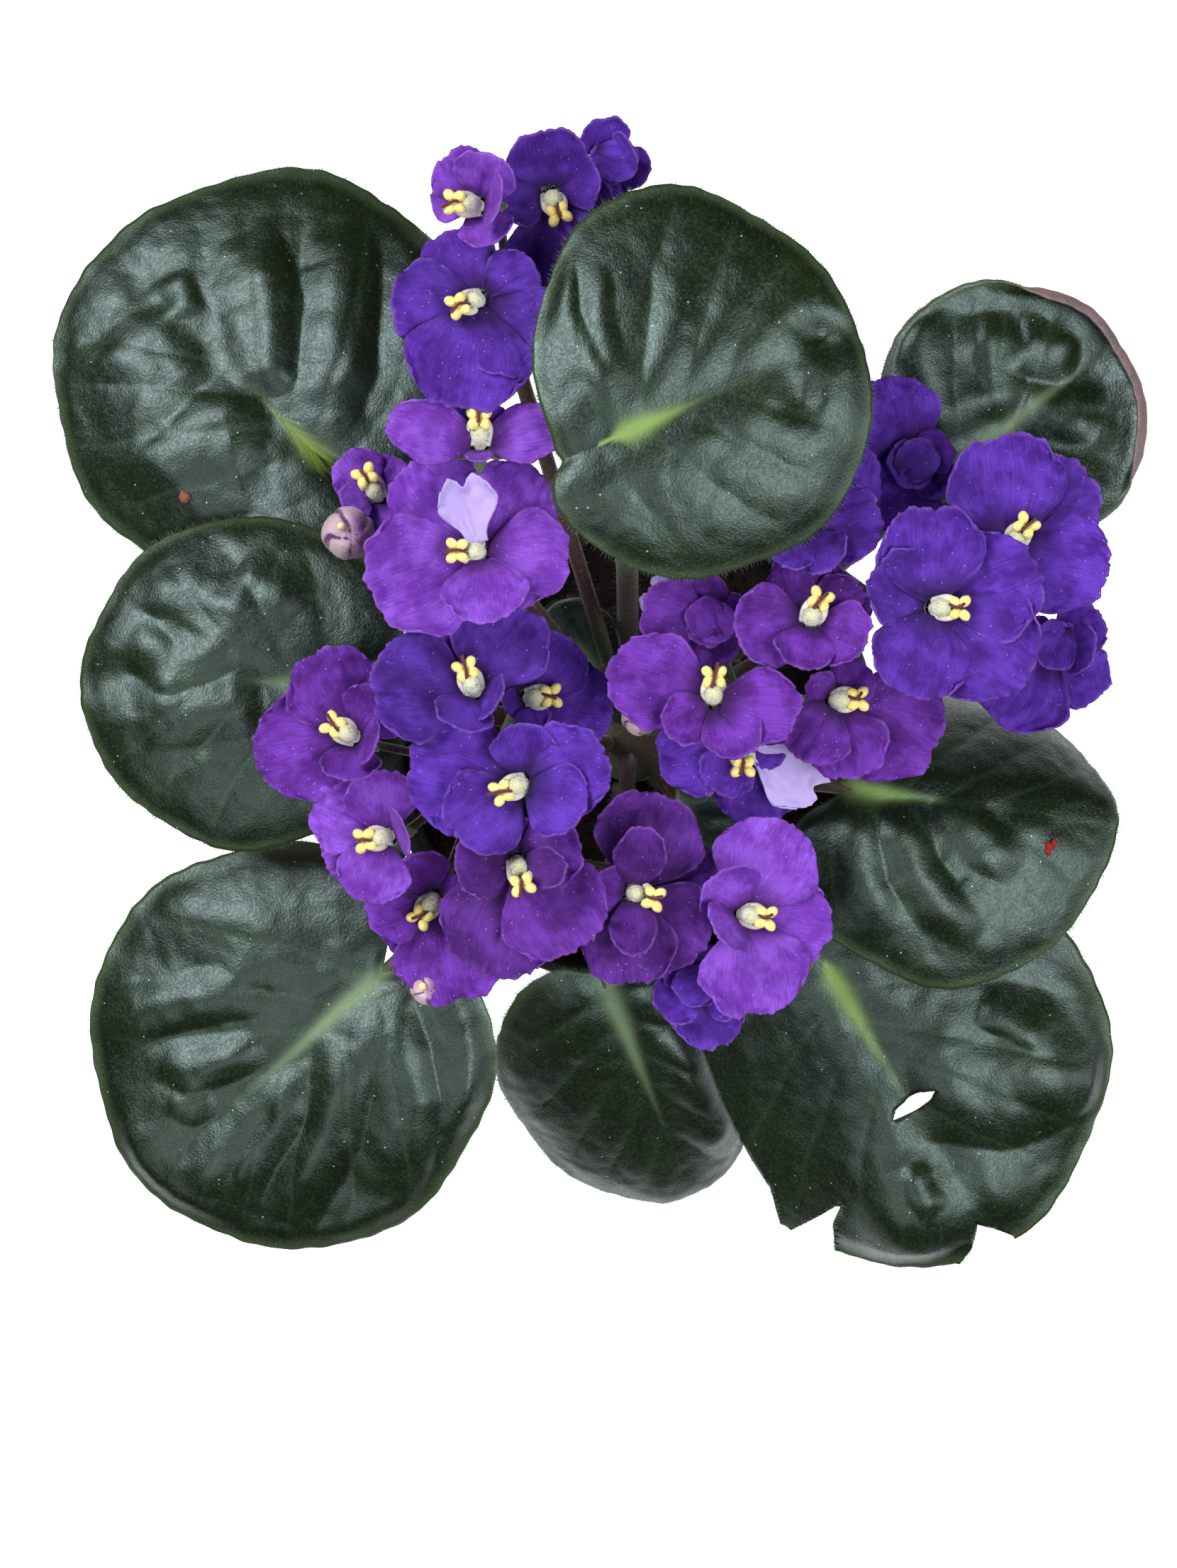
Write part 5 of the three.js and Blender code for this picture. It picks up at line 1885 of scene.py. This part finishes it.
def blooms() -> list[Bloom]:
    """The blooms, lowest first, as they lie on each other."""
    return [
        Bloom(1, (11.5, -45), (290, 30), B, 3,
              ((288, 12.5, 0), (342, 10, 2), (220, 9, 2), (65, 7, 3), (140, 7, 3)), open=False),
        Bloom(2, (19.5, -2), (270, 38), B, 4,
              ((188, 15.5, -1), (240, 10, 0), (292, 15, -2), (350, 8, 0), (90, 6, 2)),
              ((330, 17.5, -2),), pale=0.9, lift=0.4),
        Bloom(3, (76, 16), (335, 30), B, 5,
              ((32, 10, 1), (350, 6.5, 6), (306, 12.5, 0), (232, 17.5, 0), (150, 7, -1)), open=False),
        Bloom(4, (50, 48.5), (110, 20), B, 5,
              ((112, 16.5, 0), (30, 8, 0), (330, 8, -1), (262, 12.5, -2), (205, 10, -2)), open=False),
        Bloom(5, (13.5, 20), (200, 18), V, 4,
              ((170, 12.5, 3), (222, 12, 1), (290, 8, 0), (20, 8, 0), (108, 9, 2)),
              ((150, 13.6, -1),), open=False, pale=0.8, lift=-0.8),
        Bloom(6, (-4, 103), (60, 35), B, 0,
              ((108, 7.5, 4), (348, 7, 2), (272, 6, 0), (200, 5, 0), (30, 4, 6)), open=False),
        Bloom(7, (-46.5, 43), (120, 30), L, 1,
              ((130, 9.5, 2), (60, 8, 0), (345, 7, 0), (272, 7, 0), (200, 6.5, 3))),
        Bloom(8, (-36.5, -30), (235, 28), V, 2,
              ((115, 9, 5), (190, 12.5, 1), (238, 12.5, -1), (286, 19.5, -1), (30, 6, 1))),
        Bloom(9, (-19, 6.5), (5, 30), B, 2,
              ((352, 15.5, -1), (55, 13, 2), (110, 11, 1), (200, 5, 1), (280, 6, 1))),
        Bloom(10, (-44.5, -18.5), (190, 36), L, 2,
              ((150, 14.5, 1), (98, 12, 4), (205, 12.5, 0), (250, 12.5, 2), (20, 4, 8))),
        Bloom(11, (36, 6), (2, 26), V, 4,
              ((338, 20.5, -1), (284, 14.5, 1), (238, 12.5, 2), (48, 8.5, 1), (140, 6, 1))),
        Bloom(12, (-0.5, -28.5), (345, 18), V, 3,
              ((72, 18.5, 1), (8, 16, -1), (318, 16.5, -1), (266, 16.5, 0), (170, 7, 3)),
              ((78, 12, 7), (272, 11, 6)), inner_shade=0.7),
        Bloom(13, (-50.5, -0.5), (150, 32), V, 2,
              ((112, 16.5, 1), (192, 18, 0), (50, 9.5, 6), (340, 5, 7), (266, 8, 6))),
        Bloom(14, (-21, -23), (285, 24), V, 3,
              ((110, 9, 3), (20, 12, 4), (308, 19, 2), (256, 21, 1), (185, 11, 4)),
              ((350, 9, 6),), inner_shade=0.6),
        Bloom(15, (19.5, -32.5), (352, 36), L, 3,
              ((66, 18, 2), (348, 16, -1), (281, 18.5, 1), (215, 6, 8), (122, 9, 7))),
        Bloom(16, (-20, -9), (203, 22), B, 2,
              ((170, 20.5, 0), (86, 10.5, 4), (18, 15.5, 4), (335, 12, 4), (217, 15, 3))),
        Bloom(17, (-28.5, 7.5), (112, 30), B, 2,
              ((128, 12, 0), (62, 17.5, 1), (330, 5, 7), (248, 7.5, 7), (176, 18, 5)), inner_shade=0.3),
        Bloom(18, (14, 6), (90, 16), V, 4,
              ((163, 19.5, 3), (216, 10.5, 4), (298, 11.5, 4), (350, 15, 4), (86, 5, -1)),
              fullness=0.47),
        Bloom(19, (67, 33.5), (55, 26), B, 5,
              ((98, 19, 6), (48, 18.5, 2), (342, 18, 2), (155, 13, 2), (258, 6, 1))),
        Bloom(20, (31, 20), (65, 12), V, 4,
              ((188, 13.5, 4), (258, 9, 5), (335, 10.5, 4), (25, 11, 1), (96, 13, 0))),
        Bloom(21, (30, 36.5), (70, 22), B, 5,
              ((6, 13.5, 3), (298, 9, 4), (232, 8.5, 4), (60, 18, 1), (150, 6, 0))),
        Bloom(22, (-27.5, 32), (180, 20), L, 1,
              ((128, 20, 0), (58, 17.5, 0), (352, 16, 3), (278, 13, 6), (203, 20.5, 5)),
              ((104, 13.5, 4),), pale=0.75),
        Bloom(23, (-27.5, 51), (90, 58), L, 1,
              ((168, 16.5, 1), (12, 15.5, 1), (60, 7.5, -1), (120, 7.5, -1), (270, 4, 6)),
              fullness=0.36),
        Bloom(24, (-15, 96.5), (290, 22), B, 0,
              ((98, 9.5, 9), (30, 9, 7), (335, 11.5, 3), (278, 17, 1), (192, 9, 2)), inner_shade=0.3),
        Bloom(25, (-27.7, 76.8), (205, 14), B, 0,
              ((122, 13.5, 0), (25, 11.5, 2), (318, 16.5, 3), (261, 20.5, 6), (190, 15.5, 2))),
        Bloom(26, (-28, 93.5), (180, 50), L, 0,
              ((118, 10.5, 1), (158, 8.5, -2), (72, 8, 7), (350, 4.5, 8), (290, 8, 5))),
        Bloom(27, (53, 22), (358, 16), B, 5,
              ((150, 13, 4), (252, 16.5, 4), (322, 20, 3), (22, 19, 2), (97, 17.5, 4))),
    ]


# Crown, sprays and buds


@dataclass(frozen=True)
class Bud:
    """A bud on its short stalk."""

    spray: int
    at: Triple
    radius: float


@dataclass
class Crown:
    """The short stem in the middle, and the branched sprays that rise from it."""

    foot: float = 56.0
    foot_radius: float = 6.0
    peduncle_radius: float = 1.5
    pedicel_radius: float = 0.85
    forks: tuple[Triple, ...] = (
        (-22, 70, 126), (-25, 32, 126), (-27, -6, 124), (-3, -25, 122), (19, 8, 123), (44, 26, 124))
    buds: tuple[Bud, ...] = (
        Bud(1, (-51.5, 36.0, 141), 4.9), Bud(4, (1, 3, 136), 3.4), Bud(3, (-38, -46.5, 131), 3.0),
        Bud(3, (-3.5, -43, 127), 3.2))
    node: str = "crown_and_stalks"
    bud_hairs: int = 130
    stigma_radius: float = 0.75

    def stem(self, maker: Maker) -> None:
        """Turns the stem, ridged by the scars of old petioles.

        Args:
            maker: takes the finished piece.
        """
        bm = bmesh.new()
        profile = [(0, self.foot), (self.foot_radius, self.foot), (CROWN_RADIUS - 0.4, 73.0)]
        profile += [(CROWN_RADIUS, 73.0 + 1.2 * i) for i in range(1, 16)]
        profile += [(CROWN_RADIUS - 1, 92.5), (CROWN_RADIUS - 3, CROWN_TOP - 1)]
        profile += [(3, CROWN_TOP), (0, CROWN_TOP)]
        lathe(bm, profile, steps=48)
        for vert in bm.verts:
            if 74 < vert.co.z < 92:
                out = Vector((vert.co.x, vert.co.y, 0)).normalized()
                scar = noise.noise(Vector((out.x * 3, out.y * 3, vert.co.z * 0.35)))
                vert.co -= out * (0.45 + 0.45 * scar)
        maker.piece("crown_stem", bm, StalkSkin(), [self.node])

    def peduncle(self, fork: Triple) -> list[Matrix]:
        """Frames of a spray's main stalk, from the crown to its fork."""
        end = Vector(fork)
        out = Vector((end.x, end.y, 0)).normalized()
        foot = UP * (CROWN_TOP - 5) + out * 4
        rise = UP * 110 + out * 0.3 * math.hypot(end.x, end.y)
        return Curve([foot, rise, end]).frames(steps=28)

    def pedicel(self, fork: Triple, base: Vector, axis: Vector) -> list[Matrix]:
        """Frames of the short stalk from a fork to a bloom or bud.

        Args:
            fork: where it starts.
            base: where it ends.
            axis: which way its end points.

        Returns:
            The frames.
        """
        below = base - axis * 5 - UP
        middle = Vector(fork).lerp(below, 0.5) - UP
        return Curve([Vector(fork), middle, below, base]).frames(steps=22)

    def sprays(self, maker: Maker, flowers: Sequence[Bloom], hairs: Hairs) -> None:
        """Builds the stalks of all sprays.

        Args:
            maker: takes the finished piece.
            flowers: the blooms that they carry.
            hairs: the coat that their hairs are added to.
        """
        bm = bmesh.new()
        for fork in self.forks:
            frames = self.peduncle(fork)
            tube(bm, frames, lambda share: self.peduncle_radius, sides=12)
            hairs.along(frames, lambda share: self.peduncle_radius, count=240, length=1.4)
        for flower in flowers:
            self.twig(bm, hairs, flower.spray, *flower.base())
        for bud in self.buds:
            self.twig(bm, hairs, bud.spray, Vector(bud.at), UP)
        maker.piece("spray_stalks", bm, StalkSkin(), [self.node])

    def twig(self, bm: BMesh, hairs: Hairs, spray: int, base: Vector, axis: Vector) -> None:
        """Adds one short stalk and its hairs.

        Args:
            bm: the mesh of all stalks.
            hairs: the coat that its hairs are added to.
            spray: the number of its spray.
            base: where it ends.
            axis: which way its end points.
        """
        frames = self.pedicel(self.forks[spray], base, axis)
        thick = self.pedicel_radius
        tube(bm, frames, lambda share: thick * (1 + 0.2 * smooth(0.85, 1, share)), sides=9)
        hairs.along(frames, lambda share: thick, count=70, length=1.0)

    def bud_heads(self, maker: Maker, hairs: Hairs) -> None:
        """Builds each bud from a ball whose skin is drawn into overlapping petals.

        Args:
            maker: takes the finished piece.
            hairs: the coat that the buds' hairs are added to.
        """
        bm = fresh("tone")
        tone = bm.verts.layers.float_vector["tone"]
        for bud in self.buds:
            skin = bmesh.ops.create_uvsphere(bm, u_segments=40, v_segments=24, radius=1)["verts"]
            for vert in skin:
                turn = math.atan2(vert.co.y + 0.25, vert.co.x - 0.2)
                up = (vert.co.z + 1) / 2
                wander = 0.25 * noise.noise(vert.co * 1.5 + Vector(bud.at))
                swirl = (turn * 5 / math.tau + up * 0.5 + wander) % 1
                seam = bell(min(swirl, 1 - swirl), 0.11) * smooth(0.25, 0.5, up)
                lap = 0.10 * swirl * smooth(0.35, 0.6, up)
                # Painted shade: marks the +X side of each bud for the violet
                side = smooth(-0.6, 0.7, vert.co.x + 0.4 * wander)
                size = bud.radius * (0.94 + lap - 0.07 * seam)
                point = vert.co * size
                point.z *= 1.15
                if up > 0.93:
                    point.z -= 0.9 * (up - 0.93) * bud.radius * 3
                vert.co = point + Vector(bud.at)
                vert[tone] = Vector((up, seam, side))
            spot = Vector(bud.at) + Vector((-0.2, 0.2, 1.06)) * bud.radius
            stigma = Matrix.Translation(spot) @ Matrix.Scale(self.stigma_radius, 4)
            for vert in ball(bm, 2, stigma):
                vert[tone] = Vector((1, 0, 2))
            for _ in range(self.bud_hairs):
                way = stray(hairs.draw, 1).normalized()
                root = Vector(bud.at) + way * bud.radius * 0.97
                hairs.add(root, way, length=0.9, radius=0.04)
        maker.piece("buds", bm, BudSkin(), [self.node])


# Studio


@dataclass(frozen=True)
class Lamp:
    """A square soft light that faces the plant, its places and its side in metres."""

    name: str
    place: Triple
    size: float
    power: float
    colour: Triple
    target: Triple = (0, 0, 0.12)

    def hang(self) -> None:
        """Puts the light into the scene."""
        data = bpy.data.lights.new(self.name, "AREA")
        data.shape = "SQUARE"
        data.size = self.size
        data.energy = self.power
        data.color = self.colour
        lamp = stand(self.name, data)
        lamp.location = self.place
        aim = Vector(self.target) - Vector(self.place)
        lamp.rotation_euler = aim.to_track_quat("-Z", "Y").to_euler()
        lamp.visible_camera = False


@dataclass
class Studio:
    """Round white floor, soft light and a camera straight above."""

    camera_at: Triple = (-8.3, -9.1, 730.0)
    lens: float = 75.1
    sensor: float = 36.0
    world: float = 0.05
    floor_radius: float = 270.0
    lamps: tuple[Lamp, ...] = (
        Lamp("ceiling", (0.86, -0.40, 1.55), 1.1, 27.0, (0.93, 0.98, 1.0)),
        Lamp("window", (-1.05, 0.72, 1.30), 0.95, 34.0, (0.93, 0.97, 1.0)),
        Lamp("door", (-0.62, -0.80, 1.50), 0.8, 7.0, (0.94, 0.98, 1.0)),
        Lamp("edge", (1.60, -0.30, 0.45), 0.6, 5.0, (0.95, 0.98, 1.0)))

    def build(self, maker: Maker) -> None:
        """Builds the floor, the lights, the world and the camera.

        Args:
            maker: makes the floor's material.
        """
        bm = bmesh.new()
        bmesh.ops.create_circle(bm, cap_ends=True, segments=128, radius=self.floor_radius)
        mesh = in_metres("studio_floor", bm)
        maker.dress(mesh, StudioFloor())
        stand("studio_floor", mesh)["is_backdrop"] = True
        self.camera()
        for lamp in self.lamps:
            lamp.hang()
        self.sky()
        bpy.context.scene.view_settings.view_transform = "Standard"

    def camera(self) -> None:
        """Looks straight down, with +Y up in the picture."""
        data = bpy.data.cameras.new("camera")
        data.lens = self.lens
        data.sensor_width = self.sensor
        data.sensor_fit = "AUTO"
        data.clip_start = 0.05
        data.clip_end = 20.0
        camera = stand("camera", data)
        camera.location = Vector(self.camera_at) * METRES
        bpy.context.scene.camera = camera

    def sky(self) -> None:
        """Lights the whole room evenly."""
        world = bpy.data.worlds.new("room")
        world.use_nodes = True
        background = world.node_tree.nodes["Background"]
        background.inputs["Color"].default_value = rgb(0.95, 0.97, 1.0)
        background.inputs["Strength"].default_value = self.world
        bpy.context.scene.world = world


def corners() -> list[list[float]]:
    """The object's box as plain lists, lowest corner first."""
    low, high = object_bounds()
    return [[float(v) for v in low], [float(v) for v in high]]


def main() -> None:
    """Builds the plant and the studio."""
    logging.basicConfig(level=logging.INFO, format="%(name)s: %(message)s", stream=sys.stdout)
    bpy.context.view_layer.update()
    maker = Maker()
    Studio().build(maker)
    Pot().build(maker)
    PottingMix().build(maker)
    leaf_hairs = Hairs(11)
    for leaf in LEAVES:
        leaf.build(maker, leaf_hairs, [leaf.name])
    for scrap in LITTER:
        scrap.build(maker)
    small_hairs = Hairs(12)
    crown = Crown()
    for leaf in YOUNG_LEAVES:
        leaf.build(maker, small_hairs, [crown.node])
    flowers = blooms()
    crown.stem(maker)
    crown.sprays(maker, flowers, small_hairs)
    crown.bud_heads(maker, small_hairs)
    for flower in flowers:
        flower.build(maker, small_hairs)
    for name, coat, slot in (("leaf_hairs", leaf_hairs, "leaf"),
                             ("stalk_and_bloom_hairs", small_hairs, "stalk")):
        maker.piece(name, coat.mesh(name), HairFinish(), [])


if __name__ == "__main__":
    main()
